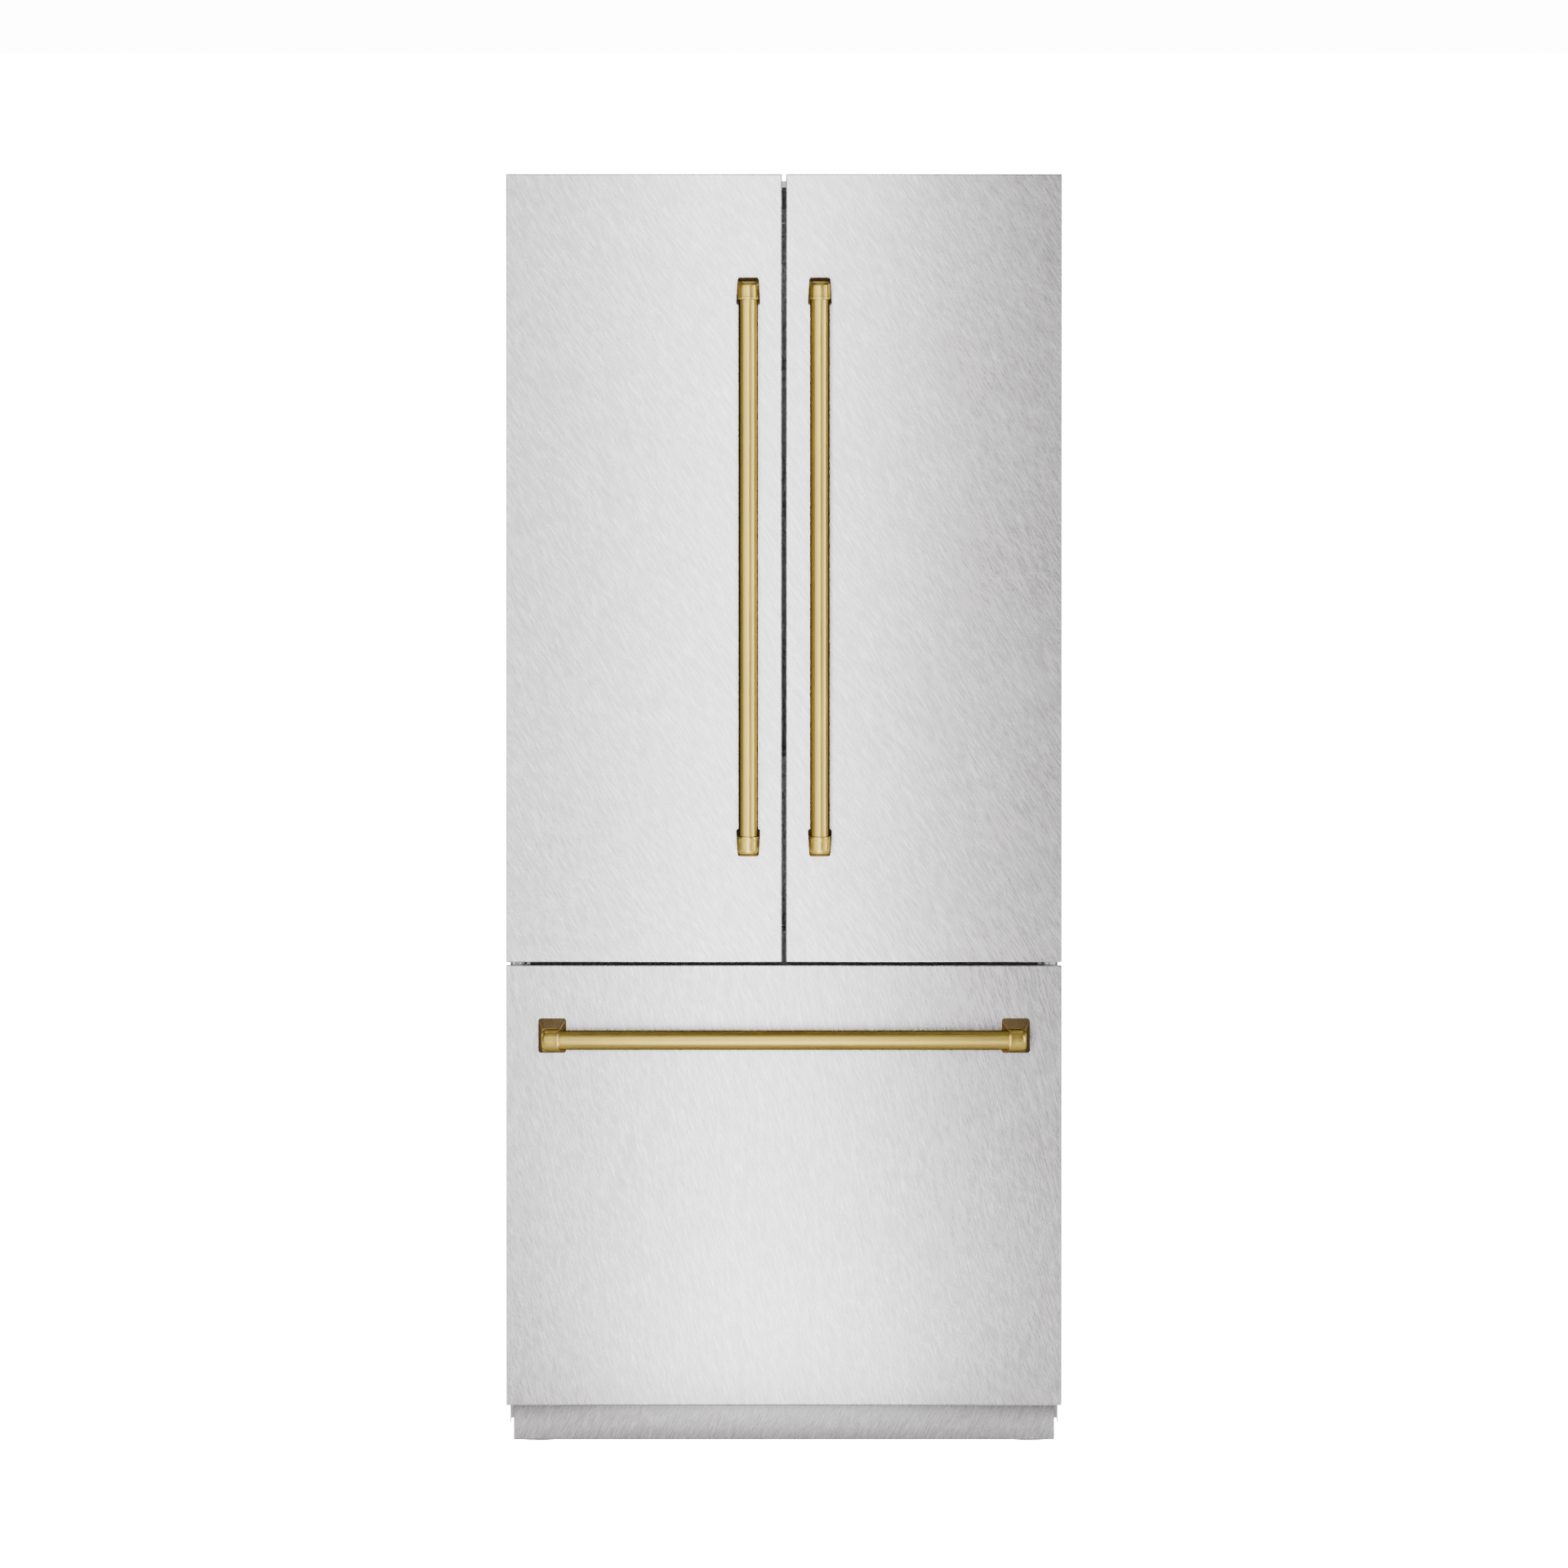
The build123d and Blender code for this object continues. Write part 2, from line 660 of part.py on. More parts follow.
def shelf_frames():
    """Two hooked steel arms with a front and a rear trim for each half-width shelf."""
    with BuildPart() as frames:
        for side in (left, right):
            for slot in shelf_slots[side]:
                top = shelf_top(slot)
                inner, outer = shelf_x
                trim_x = sided(side, (inner, outer))
                trim_z = (top - trim_height + 3, top + 3)
                block(trim_x, (shelf_y[0], shelf_y[0] + 14), trim_z)
                block(trim_x, (shelf_y[1] - 10, shelf_y[1]), trim_z)
                for x in sorted(track_x):
                    plane = Plane.YZ.offset(side * x - arm_width / 2)
                    under = top - glass - 0.5
                    hook_z = top - shelf_drop
                    with BuildSketch(plane) as arm:
                        with BuildLine():
                            Polyline(
                                (shelf_y[0] + 14, under),
                                (shelf_y[1] - 10, under),
                                (shelf_y[1] - 10, top - 12),
                                (track_y[0] - 1, top - 12),
                                (track_y[0] - 1, hook_z + 8),
                                (track_y[1] - 1, hook_z + 8),
                                (track_y[1] - 1, hook_z - 8),
                                (track_y[0] - 1, hook_z - 8),
                                (track_y[0] - 1, top - arm_height),
                                (shelf_y[1] - 90, top - arm_height),
                                (shelf_y[0] + 14, top - 12),
                                close=True,
                            )
                        make_face()
                    extrude(arm.sketch, amount=arm_width)
    save(frames, "shelf_frames")


def glass_shelves():
    """Shelf panes, and the pane in the crisper cover."""
    with BuildPart() as panes:
        for side in (left, right):
            for slot in shelf_slots[side]:
                top = shelf_top(slot)
                pane_y = (shelf_y[0] + 14, shelf_y[1] - 10)
                block(sided(side, shelf_x), pane_y, (top - glass, top))
        block(both(380), (crisper_front - 6, 236), (cover_z[0] + 5, cover_z[0] + 9))
    save(panes, "glass_shelves")


def crisper_cover():
    """Frame round the lowest pane, with a divider and the ledges that carry the crispers."""
    cover_y = (crisper_front - 20, 250.0)
    with BuildPart() as cover:
        block(both(404), cover_y, cover_z)
        block(both(372), (cover_y[0] + 22, 228), grown(cover_z, 1), Mode.SUBTRACT)
        rebate_z = (cover_z[0] + 5, cover_z[1] + 1)
        block(both(380), (crisper_front - 6, 236), rebate_z, Mode.SUBTRACT)
        block(both(4), (crisper_front, 250), (fridge_z[0] + 5, cover_z[0]))
        block(both(14), (crisper_front, 240), ledge_z)
        for side in (left, right):
            block(sided(side, (401, 404)), (crisper_front, 250), (ledge_z[0], cover_z[0]))
            block(sided(side, (394, 401)), (crisper_front, 240), ledge_z)
    save(cover, "crisper_cover")


def crispers():
    """Two clear bins with side flanges and a pull lip."""
    for side, name in ((left, "crisper_left"), (right, "crisper_right")):
        y = (crisper_front, crisper_back - 2)
        with BuildPart() as crisper:
            open_box(sided(side, crisper_x), y, crisper_z, crisper_wall, crisper_corner)
            flange_z = (ledge_z[1] + 0.5, crisper_z[1])
            for span in ((crisper_x[0] - 10, crisper_x[0] + 1), (crisper_x[1] - 1, crisper_x[1] + 10)):
                block(sided(side, span), (y[0] + 16, y[1] - 16), flange_z)
            middle = side * (crisper_x[0] + crisper_x[1]) / 2
            block((middle - 160, middle + 160), (y[0] - 14, y[0] + 2), (crisper_z[1] - 4, crisper_z[1]))
            block((middle - 160, middle + 160), (y[0] - 14, y[0] - 11), (crisper_z[1] - 22, crisper_z[1]))
        save(crisper, name)


def led_lamps():
    """Ceiling strips of both compartments and two side strips."""
    ceiling = fridge_z[1] - liner_wall
    freezer_ceiling = freezer_z[1] - liner_wall
    with BuildPart() as lamps:
        block(both(150), (0, 30), (ceiling - 5, ceiling))
        block((60, 300), (-120, -95), (freezer_ceiling - 5, freezer_ceiling))
        for side in (left, right):
            wall_x = sided(side, (inner_half_width - 3, inner_half_width))
            block(wall_x, (-128, -116), (1200, 1900))
    save(lamps, "led_lamps")


def overhead_console():
    """Control console under the ceiling, with a bored head for the water filter."""
    ceiling = fridge_z[1] - liner_wall
    x, z = filter_at
    head_y = (filter_y[1] + 0.5, filter_y[1] + 50)
    with BuildPart() as console:
        block(both(190), (-150, -50), (ceiling - 24, ceiling))
        fillet(console.edges().filter_by(Axis.X).group_by(Axis.Z)[0], 6)
        rod(filter_radius, (x, head_y[0], z), (0, 1, 0), head_y[1] - head_y[0])
        block((x - 18, x + 18), (head_y[0] + 4, head_y[1]), (z, ceiling))
        rod(filter_neck_radius + 0.4, (x, head_y[0] - 1, z), (0, 1, 0), 31, Mode.SUBTRACT)
    save(console, "overhead_console")


def water_filter():
    """Cartridge with a neck and two grip ribs at its front."""
    x, z = filter_at
    with BuildPart() as cartridge:
        rod(filter_radius, (x, filter_y[0], z), (0, 1, 0), filter_y[1] - filter_y[0])
        fillet(cartridge.edges().group_by(Axis.Y)[0], 4)
        rod(filter_neck_radius, (x, filter_y[1], z), (0, 1, 0), 28)
        block((x - 4, x + 4), (filter_y[0] - 12, filter_y[0] + 1), (z - 20, z + 20))
    save(cartridge, "water_filter")


# Freezer interior


def evaporator():
    """Finned coil block behind the freezer's back wall."""
    half = 260.0
    coil_y = (215.0, 265.0)
    coil_z = (345.0, 560.0)
    with BuildPart() as coil:
        fins = 27
        for fin in range(fins):
            x = -half + 2 * half * fin / (fins - 1)
            block((x - 0.5, x + 0.5), coil_y, coil_z)
        for z in (370, 410, 450, 490, 530):
            for y in (228, 252):
                rod(4, (-half - 10, y, z), (1, 0, 0), 2 * half + 20)
    save(coil, "evaporator")


def evaporator_cover():
    """Back wall of the freezer with air slots and a fan grille, and the fan's motor behind it."""
    wall_z = (freezer_step_z + liner_wall, 735.0)
    near, far = evaporator_cover_y
    x, y, z = evaporator_fan_at
    with BuildPart() as cover:
        block(both(388), (near, far), wall_z)
        block(both(385), (near + 3, far + 1), grown(wall_z, -3), Mode.SUBTRACT)
        rod(evaporator_fan_radius + 2, (x, near - 1, z), (0, 1, 0), 6, Mode.SUBTRACT)
        for radius in (32, 16):
            rod(radius + 2, (x, near, z), (0, 1, 0), 2)
            rod(radius, (x, near - 1, z), (0, 1, 0), 4, Mode.SUBTRACT)
        rod(8, (x, near, z), (0, 1, 0), 2)
        for turn in range(4):
            angle = turn * pi / 2 + pi / 4
            reach = (cos(angle), 0, sin(angle))
            start = (x + 6 * cos(angle), near + 1, z + 6 * sin(angle))
            rod(1, start, reach, evaporator_fan_radius - 3)
        for column in (-260, 260):
            for line in range(5):
                slot_z = (610 + 16 * line, 616 + 16 * line)
                block((column - 60, column + 60), (near - 1, near + 4), slot_z, Mode.SUBTRACT)
        rod(20, (x, y + 16, z), (0, 1, 0), inner_back - y - 16)
        rod(shaft_radius, (x, y - 1, z), (0, 1, 0), 20)
    save(cover, "evaporator_cover")


def evaporator_fan():
    """Fan between the grille and its motor."""
    x, y, z = evaporator_fan_at
    with BuildPart() as fan:
        axial_fan((x, y + 10, z), (0, -1, 0), evaporator_fan_radius, 14, 14)
    save(fan, "evaporator_fan")


def ice_maker():
    """Ice mould under a housing, fixed to the liner's left wall."""
    with BuildPart() as maker:
        block(ice_maker_x, ice_maker_y, ice_maker_z)
        mould_x = (ice_maker_x[0] + 12, ice_maker_x[1] - 12)
        mould_z = (ice_maker_z[1] - 45, ice_maker_z[1] + 1)
        block(mould_x, (ice_maker_y[0] + 34, ice_maker_y[1] - 6), mould_z, Mode.SUBTRACT)
        block((-inner_half_width, ice_maker_x[0]), (ice_maker_y[0] + 10, ice_maker_y[1] - 10), (640, 700))
        pivot = (ice_maker_x[1], *ice_pivot)
        rod(3, pivot, (1, 0, 0), 8)
    save(maker, "ice_maker")


def ice_arm():
    """Shut-off arm: a hub on the mould's pin and a bent wire."""
    y, z = ice_pivot
    x = ice_maker_x[1] + 1
    with BuildPart() as arm:
        rod(8, (x, y, z), (1, 0, 0), 6)
        rod(3 + running_gap, (x - 1, y, z), (1, 0, 0), 9, Mode.SUBTRACT)
        block((x + 1.5, x + 4.5), (y - 1.5, y + 1.5), (z - 78, z - 6))
        block((x + 1.5, x + 4.5), (y - 1.5, y + 90), (z - 78, z - 75))
    save(arm, "ice_arm")


# Drawer slides


def slide_channel(member, side):
    """One channel of a telescopic slide; the web is on the wall side or the drawer side."""
    x, z, opens = slide_members[member]
    steel = 1.5
    block(sided(side, x), slide_y, z)
    hollow = (x[0] - 1, x[1] - steel) if opens == left else (x[0] + steel, x[1] + 1)
    block(sided(side, hollow), grown(slide_y, 1), grown(z, -steel), Mode.SUBTRACT)


def rails():
    """Outer members on the liner and middle members between."""
    for member in ("outer", "middle"):
        with BuildPart() as rail:
            for side in (left, right):
                slide_channel(member, side)
        save(rail, f"rail_{member}")


# Doors


def steel_panel(x, z, name):
    """Folded steel front, open at the back, with a small radius round its face."""
    with BuildPart() as panel:
        block(x, (panel_front, panel_back), z)
        fillet(panel.faces().sort_by(Axis.Y)[0].edges(), panel_edge_radius)
        inside_y = (panel_front + panel_steel, panel_back + 1)
        block(grown(x, -panel_steel), inside_y, grown(z, -panel_steel), Mode.SUBTRACT)
    save(panel, name)


def core(x, z, back_x, back_z):
    """Foamed body that fills the folded front and steps in behind it."""
    inside_y = (panel_front + panel_steel, panel_back)
    block(grown(x, -panel_steel), inside_y, grown(z, -panel_steel))
    block(back_x, (panel_back, core_back), back_z)


def door_liner(side, name):
    """Door body with its raised ring and hinge sockets, and on the left the flipper's lugs."""
    panel_x = sided(side, (door_gap / 2, width / 2))
    with BuildPart() as liner:
        core(panel_x, (door_bottom, height), sided(side, (core_free_edge, core_half_width)), door_core_z)
        ring(sided(side, ring_x), (core_back, ring_back), ring_z, ring_width)
        block(sided(side, ring_x), grown((core_back, core_back), 8), ring_z)
        x = side * pivot_x
        socket = pin_radius + running_gap
        depth = hinge_pin_length + 2
        rod(socket, (x, pivot_y, door_core_z[0]), (0, 0, 1), depth, Mode.SUBTRACT)
        rod(socket, (x, pivot_y, door_core_z[1]), (0, 0, -1), depth, Mode.SUBTRACT)
        if side == left:
            flipper_lugs()
    save(liner, name)


def flipper_lugs():
    """Two lugs on the liner's ring, with the pins that the flipper turns on."""
    x, y = flipper_axis
    low, high = flipper_z
    for end, way in ((low, -1), (high, 1)):
        near = end + way * lug_gap
        far = near + way * lug_height
        block((-ring_x[0] - 1, x + 6), (y - 6, y + 8), (near, far))
        start = (x, y, near)
        rod(flipper_pin_radius, start, (0, 0, -way), lug_gap + flipper_pin_length)


def flipper_mullion():
    """Bar with rounded edges, bored at both ends for the lugs' pins."""
    x, y = flipper_axis
    with BuildPart() as bar:
        block(flipper_x, flipper_y, flipper_z)
        fillet(bar.edges().filter_by(Axis.Z), 3)
        socket = flipper_pin_radius + running_gap
        depth = flipper_pin_length + 1
        rod(socket, (x, y, flipper_z[0]), (0, 0, 1), depth, Mode.SUBTRACT)
        rod(socket, (x, y, flipper_z[1]), (0, 0, -1), depth, Mode.SUBTRACT)
    save(bar, "flipper_mullion")


def gasket(x, z, name):
    """Seal with a wide foot on the door and a narrower magnet lip."""
    with BuildPart() as seal:
        ring(x, (core_back, gasket_lip_start), z, gasket_width)
        inset = (gasket_width - gasket_lip) / 2
        ring(grown(x, -inset), (gasket_lip_start, gasket_back), grown(z, -inset), gasket_lip)
    save(seal, name)


def door_bins(side, name):
    """Clear bins with side rails that hold them between the ring's sides."""
    with BuildPart() as set_of_bins:
        for bottom, tall, bin_back in bins:
            z = (bottom, bottom + tall)
            open_box(sided(side, bin_x), (core_back + 8.2, bin_back), z, bin_wall, bin_corner)
            reach = ring_width + ring_x[0]
            for rail in ((reach, bin_x[0] + 1), (bin_x[1] - 1, ring_x[1] - ring_width)):
                block(sided(side, rail), (-188, -178), (bottom + 20, bottom + tall - 10))
    save(set_of_bins, name)


def post(origin, along, foot, flare):
    """Handle post: a foot on the panel that narrows to a square collar round the bar's end."""
    base = Plane(origin=origin, x_dir=along, z_dir=outward)
    reach = panel_front - front
    length, across, rise = foot
    outlines = []
    for out, share in (*flare, (reach - collar_size + collar_corner, 0.0)):
        with BuildSketch(base.offset(out)) as section:
            with Locations((post_inset * share, rise * share * base.y_dir.Z)):
                RectangleRounded(
                    collar_length + (length - collar_length) * share,
                    collar_size + (across - collar_size) * share,
                    post_corner,
                )
        outlines.append(section.sketch)
    loft(outlines)
    bar_axis = base.offset(reach - collar_size / 2).origin
    end_on = Plane(origin=bar_axis, x_dir=outward, z_dir=along)
    with BuildSketch(end_on.offset(-collar_length / 2)) as collar:
        RectangleRounded(collar_size, collar_size, collar_corner)
    extrude(collar.sketch, amount=collar_length)
    mouth = end_on.offset(-collar_length / 2 - 1).origin
    rod(bar_radius, mouth, along, socket_depth + 1, Mode.SUBTRACT)


def post_centre(end, way):
    """Where a collar's middle stands, from the outer end of its foot; way points to that end."""
    return end - way * (door_foot[0] / 2 + post_inset)


def bar_end(centre, way):
    """Where the bar ends in its socket."""
    return centre + way * (socket_depth - collar_length / 2)


def door_handle(side, prefix):
    """Upright bar near the door's free edge."""
    x = side * door_bar_x
    low = post_centre(door_handle_z[0], left)
    high = post_centre(door_handle_z[1], right)
    with BuildPart() as posts:
        post((x, panel_front, low), (0, 0, -1), door_foot, door_flare)
        post((x, panel_front, high), (0, 0, 1), door_foot, door_flare)
    save(posts, f"{prefix}_handle_posts")
    start, end = bar_end(low, left), bar_end(high, right)
    with BuildPart() as bar:
        rod(bar_radius, (x, bar_y, start), (0, 0, 1), end - start)
    save(bar, f"{prefix}_handle_bar")


def drawer_handle():
    """Level bar near the drawer's top."""
    z = drawer_handle_z
    low = post_centre(-drawer_handle_half_length, left)
    high = post_centre(drawer_handle_half_length, right)
    with BuildPart() as posts:
        post((low, panel_front, z), (-1, 0, 0), drawer_foot, drawer_flare)
        post((high, panel_front, z), (1, 0, 0), drawer_foot, drawer_flare)
    save(posts, "drawer_handle_posts")
    start, end = bar_end(low, left), bar_end(high, right)
    with BuildPart() as bar:
        rod(bar_radius, (start, bar_y, z), (1, 0, 0), end - start)
    save(bar, "drawer_handle_bar")


def door(side, prefix):
    """All pieces of one door."""
    panel_x = sided(side, (door_gap / 2, width / 2))
    steel_panel(panel_x, (door_bottom, height), f"{prefix}_panel")
    door_liner(side, f"{prefix}_liner")
    gasket(sided(side, door_gasket_x), door_gasket_z, f"{prefix}_gasket")
    door_bins(side, f"{prefix}_bins")
    door_handle(side, prefix)


# Freezer drawer


def drawer_liner():
    """Foamed body of the drawer's front."""
    with BuildPart() as liner:
        z = (drawer_bottom, drawer_top)
        core(both(width / 2), z, both(core_half_width), drawer_core_z)
    save(liner, "drawer_liner")


def drawer_frame():
    """Side arms fixed to the drawer's front, each with a slide's inner member."""
    with BuildPart() as frame:
        for side in (left, right):
            slide_channel("inner", side)
            block(sided(side, arm_x), (core_back, slide_y[1]), slide_members["inner"][1])
            block(sided(side, (340, arm_x[1])), (core_back, core_back + 3), (300, 560))
    save(frame, "drawer_frame")


def lower_bin():
    """Deep bin hung by its rim on the drawer's arms."""
    with BuildPart() as basket:
        y = lower_bin_y
        top = basket_rim_z[1]
        open_box(both(lower_bin_x), y, (lower_bin_bottom, top), basket_wall, 30)
        for side in (left, right):
            block(sided(side, (lower_bin_x - 2, arm_x[1])), (y[0] + 32, y[1] - 32), basket_rim_z)
    save(basket, "lower_bin")


def upper_tray():
    """Shallow tray that slides back and forth on the lower bin's rim."""
    with BuildPart() as tray:
        open_box(both(tray_x), tray_y, tray_z, basket_wall, 24)
    save(tray, "upper_tray")


def drawer():
    """All pieces of the freezer drawer."""
    steel_panel(both(width / 2), (drawer_bottom, drawer_top), "drawer_panel")
    drawer_liner()
    gasket(both(drawer_gasket_half_width), drawer_gasket_z, "drawer_gasket")
    drawer_handle()
    drawer_frame()
    lower_bin()
    upper_tray()


os.makedirs("parts", exist_ok=True)
for make in (
    cabinet_shell,
    front_frame,
    top_trim,
    cabinet_foam,
    fridge_liner,
    freezer_liner,
    back_panel,
    machine_cover,
    cabinet_screws,
    base_frame,
    toe_kick,
    feet,
    rear_rollers,
    hinge_brackets,
    compressor,
    condenser_coil,
    fan_shroud,
    condenser_fan,
    drain_pan,
    water_valve,
    power_inlet,
    rear_duct,
    shelf_tracks,
    shelf_frames,
    glass_shelves,
    crisper_cover,
    crispers,
    led_lamps,
    overhead_console,
    water_filter,
    evaporator,
    evaporator_cover,
    evaporator_fan,
    ice_maker,
    ice_arm,
    rails,
    flipper_mullion,
    drawer,
):
    make()
door(left, "left")
door(right, "right")
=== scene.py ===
"""Looks of the french door refrigerator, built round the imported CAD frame."""

import math

import bmesh
import bpy
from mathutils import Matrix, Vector


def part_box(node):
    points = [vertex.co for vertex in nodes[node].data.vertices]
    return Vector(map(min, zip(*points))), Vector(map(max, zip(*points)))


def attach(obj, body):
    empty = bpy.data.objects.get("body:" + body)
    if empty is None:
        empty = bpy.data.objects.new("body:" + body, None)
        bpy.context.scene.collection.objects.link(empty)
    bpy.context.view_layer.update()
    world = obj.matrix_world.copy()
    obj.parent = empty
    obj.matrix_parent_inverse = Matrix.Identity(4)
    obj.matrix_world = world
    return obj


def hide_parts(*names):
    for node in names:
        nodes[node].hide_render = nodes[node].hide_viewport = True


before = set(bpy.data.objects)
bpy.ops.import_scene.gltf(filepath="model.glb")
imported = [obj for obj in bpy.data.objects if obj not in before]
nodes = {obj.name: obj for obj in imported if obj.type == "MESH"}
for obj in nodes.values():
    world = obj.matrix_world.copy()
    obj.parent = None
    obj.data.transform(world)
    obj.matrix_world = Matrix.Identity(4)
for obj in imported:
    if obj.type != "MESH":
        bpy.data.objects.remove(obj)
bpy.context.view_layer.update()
scene = bpy.context.scene

# ---------------------------------------------------------------- camera and light

CAMERA_DISTANCE = 60.0
CAMERA_PITCH = math.radians(2.0)
CAMERA_AIM = Vector((0.0, -0.283, 1.0756))
CAMERA_LENS = 845.9
STUDIO_LIGHT = 0.12
FLOOR_GLOW = 0.16
STUDIO_WHITE = 14.0
FLOOR_WHITE = STUDIO_WHITE * 1.2
FLOOR_HALF_SIDE = 150.0
SENSOR_WIDTH = 36.0
CLIP_NEAR, CLIP_FAR = 0.5, 400.0


def look_at(thing, target):
    thing.rotation_euler = (Vector(target) - thing.location).to_track_quat("-Z", "Y").to_euler()


def add_camera():
    data = bpy.data.cameras.new("camera")
    data.sensor_width = SENSOR_WIDTH
    data.lens = CAMERA_LENS
    data.clip_start = CLIP_NEAR
    data.clip_end = CLIP_FAR
    camera = bpy.data.objects.new("camera", data)
    back = Vector((0.0, -math.cos(CAMERA_PITCH), math.sin(CAMERA_PITCH)))
    camera.location = CAMERA_AIM + back * CAMERA_DISTANCE
    look_at(camera, CAMERA_AIM)
    scene.collection.objects.link(camera)
    scene.camera = camera


def add_softbox(name, place, target, size, power):
    """An area lamp that lights and shines in gloss, but is never seen itself."""
    data = bpy.data.lights.new(name, "AREA")
    data.shape = "RECTANGLE"
    data.size, data.size_y = size
    data.energy = power
    lamp = bpy.data.objects.new(name, data)
    lamp.location = place
    look_at(lamp, target)
    lamp.visible_camera = False
    scene.collection.objects.link(lamp)


# Each softbox: place, target, width and height, power.
SOFTBOXES = {
    "front_box": ((-0.57, -3.0, 1.42), (-0.57, 0.0, 1.42), (1.0, 2.36), 11.2),
    "centre_box": ((-0.03, -2.3, 1.1), (-0.03, 0.0, 1.1), (0.34, 3.0), 20.0),
    "floor_bounce": ((-0.03, -2.3, 0.01), (-0.03, -2.3, 3.0), (0.55, 2.8), 24.0),
    "left_strip": ((-2.4, -5.2, 1.4), (0.0, -0.3, 1.1), (0.5, 4.6), 34.0),
    "right_strip": ((4.4, -2.5, 1.5), (0.0, -0.2, 1.1), (0.6, 4.4), 75.0),
    "left_fill": ((-3.1, -3.6, 1.4), (0.0, -0.3, 1.1), (2.4, 4.4), 48.0),
    "right_fill": ((3.1, -3.6, 1.4), (0.0, -0.3, 1.1), (2.4, 4.4), 48.0),
    "upper_fill": ((0.0, -2.6, 4.4), (0.0, -0.3, 0.9), (3.0, 1.4), 9.0),
    "left_side": ((-5.0, 1.4, 1.8), (0.0, 0.0, 1.1), (2.0, 4.4), 150.0),
    "right_side": ((5.0, 1.6, 1.8), (0.0, 0.0, 1.1), (2.0, 4.4), 120.0),
    "overhead": ((0.0, 1.2, 5.2), (0.0, 0.3, 0.0), (4.0, 3.0), 130.0),
    "behind": ((1.5, 5.2, 2.2), (0.0, 0.0, 1.0), (4.0, 3.6), 150.0),
}


def add_lights():
    for name, (place, target, size, power) in SOFTBOXES.items():
        add_softbox(name, place, target, size, power)
    world = bpy.data.worlds.new("studio")
    world.use_nodes = True
    tree = world.node_tree
    shade = tree.nodes["Background"]
    shade.inputs["Color"].default_value = (1.0, 1.0, 1.0, 1.0)
    seen = tree.nodes.new("ShaderNodeLightPath").outputs["Is Camera Ray"]
    strength = spread(tree, seen, 0.0, 1.0, STUDIO_LIGHT, STUDIO_WHITE)
    tree.links.new(strength, shade.inputs["Strength"])
    scene.world = world


# ---------------------------------------------------------------- node helpers


def new_material(name):
    material = bpy.data.materials.new(name)
    material.use_nodes = True
    tree = material.node_tree
    return material, tree, tree.nodes["Principled BSDF"]


def feed(tree, socket, value):
    """A socket takes another node's output or a plain value."""
    if isinstance(value, bpy.types.NodeSocket):
        tree.links.new(value, socket)
    else:
        socket.default_value = value


def object_space(tree):
    return tree.nodes.new("ShaderNodeTexCoord").outputs["Object"]


def placed(tree, vector, size, turn=(0.0, 0.0, 0.0)):
    """Coordinates turned first and then divided by size, so a texture can be drawn out along any line."""
    node = tree.nodes.new("ShaderNodeMapping")
    node.vector_type = "TEXTURE"
    tree.links.new(vector, node.inputs["Vector"])
    node.inputs["Rotation"].default_value = turn
    node.inputs["Scale"].default_value = size
    return node.outputs["Vector"]


def noise(tree, vector, scale=1.0, detail=2.0, output="Fac"):
    node = tree.nodes.new("ShaderNodeTexNoise")
    tree.links.new(vector, node.inputs["Vector"])
    node.inputs["Scale"].default_value = scale
    node.inputs["Detail"].default_value = detail
    return node.outputs[output]


def cell_colours(tree, vector, scale):
    node = tree.nodes.new("ShaderNodeTexVoronoi")
    tree.links.new(vector, node.inputs["Vector"])
    node.inputs["Scale"].default_value = scale
    return node.outputs["Color"]


def calc(tree, operation, first, second=0.0, clamp=False):
    node = tree.nodes.new("ShaderNodeMath")
    node.operation = operation
    node.use_clamp = clamp
    feed(tree, node.inputs[0], first)
    feed(tree, node.inputs[1], second)
    return node.outputs[0]


def spread(tree, value, low, high, to_low=0.0, to_high=1.0):
    """Maps low..high to to_low..to_high, held at both ends."""
    node = tree.nodes.new("ShaderNodeMapRange")
    tree.links.new(value, node.inputs["Value"])
    for key, number in (("From Min", low), ("From Max", high), ("To Min", to_low), ("To Max", to_high)):
        node.inputs[key].default_value = number
    return node.outputs["Result"]


def blend_colours(tree, factor, first, second):
    node = tree.nodes.new("ShaderNodeMix")
    node.data_type = "RGBA"
    feed(tree, node.inputs["Factor"], factor)
    feed(tree, node.inputs["A"], first)
    feed(tree, node.inputs["B"], second)
    return node.outputs["Result"]


def scaled_vector(tree, vector, amount):
    node = tree.nodes.new("ShaderNodeVectorMath")
    node.operation = "SCALE"
    tree.links.new(vector, node.inputs[0])
    node.inputs["Scale"].default_value = amount
    return node.outputs[0]


def added_vectors(tree, first, second):
    node = tree.nodes.new("ShaderNodeVectorMath")
    node.operation = "ADD"
    tree.links.new(first, node.inputs[0])
    tree.links.new(second, node.inputs[1])
    return node.outputs[0]


def axis_of(tree, vector, axis):
    node = tree.nodes.new("ShaderNodeSeparateXYZ")
    tree.links.new(vector, node.inputs["Vector"])
    return node.outputs[axis]


def set_bump(tree, shader, height, strength, distance):
    node = tree.nodes.new("ShaderNodeBump")
    node.inputs["Strength"].default_value = strength
    node.inputs["Distance"].default_value = distance
    tree.links.new(height, node.inputs["Height"])
    tree.links.new(node.outputs["Normal"], shader.inputs["Normal"])


def rgba(colour):
    return (*colour, 1.0)


def shaded(colour, amount):
    return rgba(tuple(min(1.0, channel * amount) for channel in colour))


# ---------------------------------------------------------------- materials

X_AXIS, Y_AXIS, Z_AXIS = 0, 1, 2

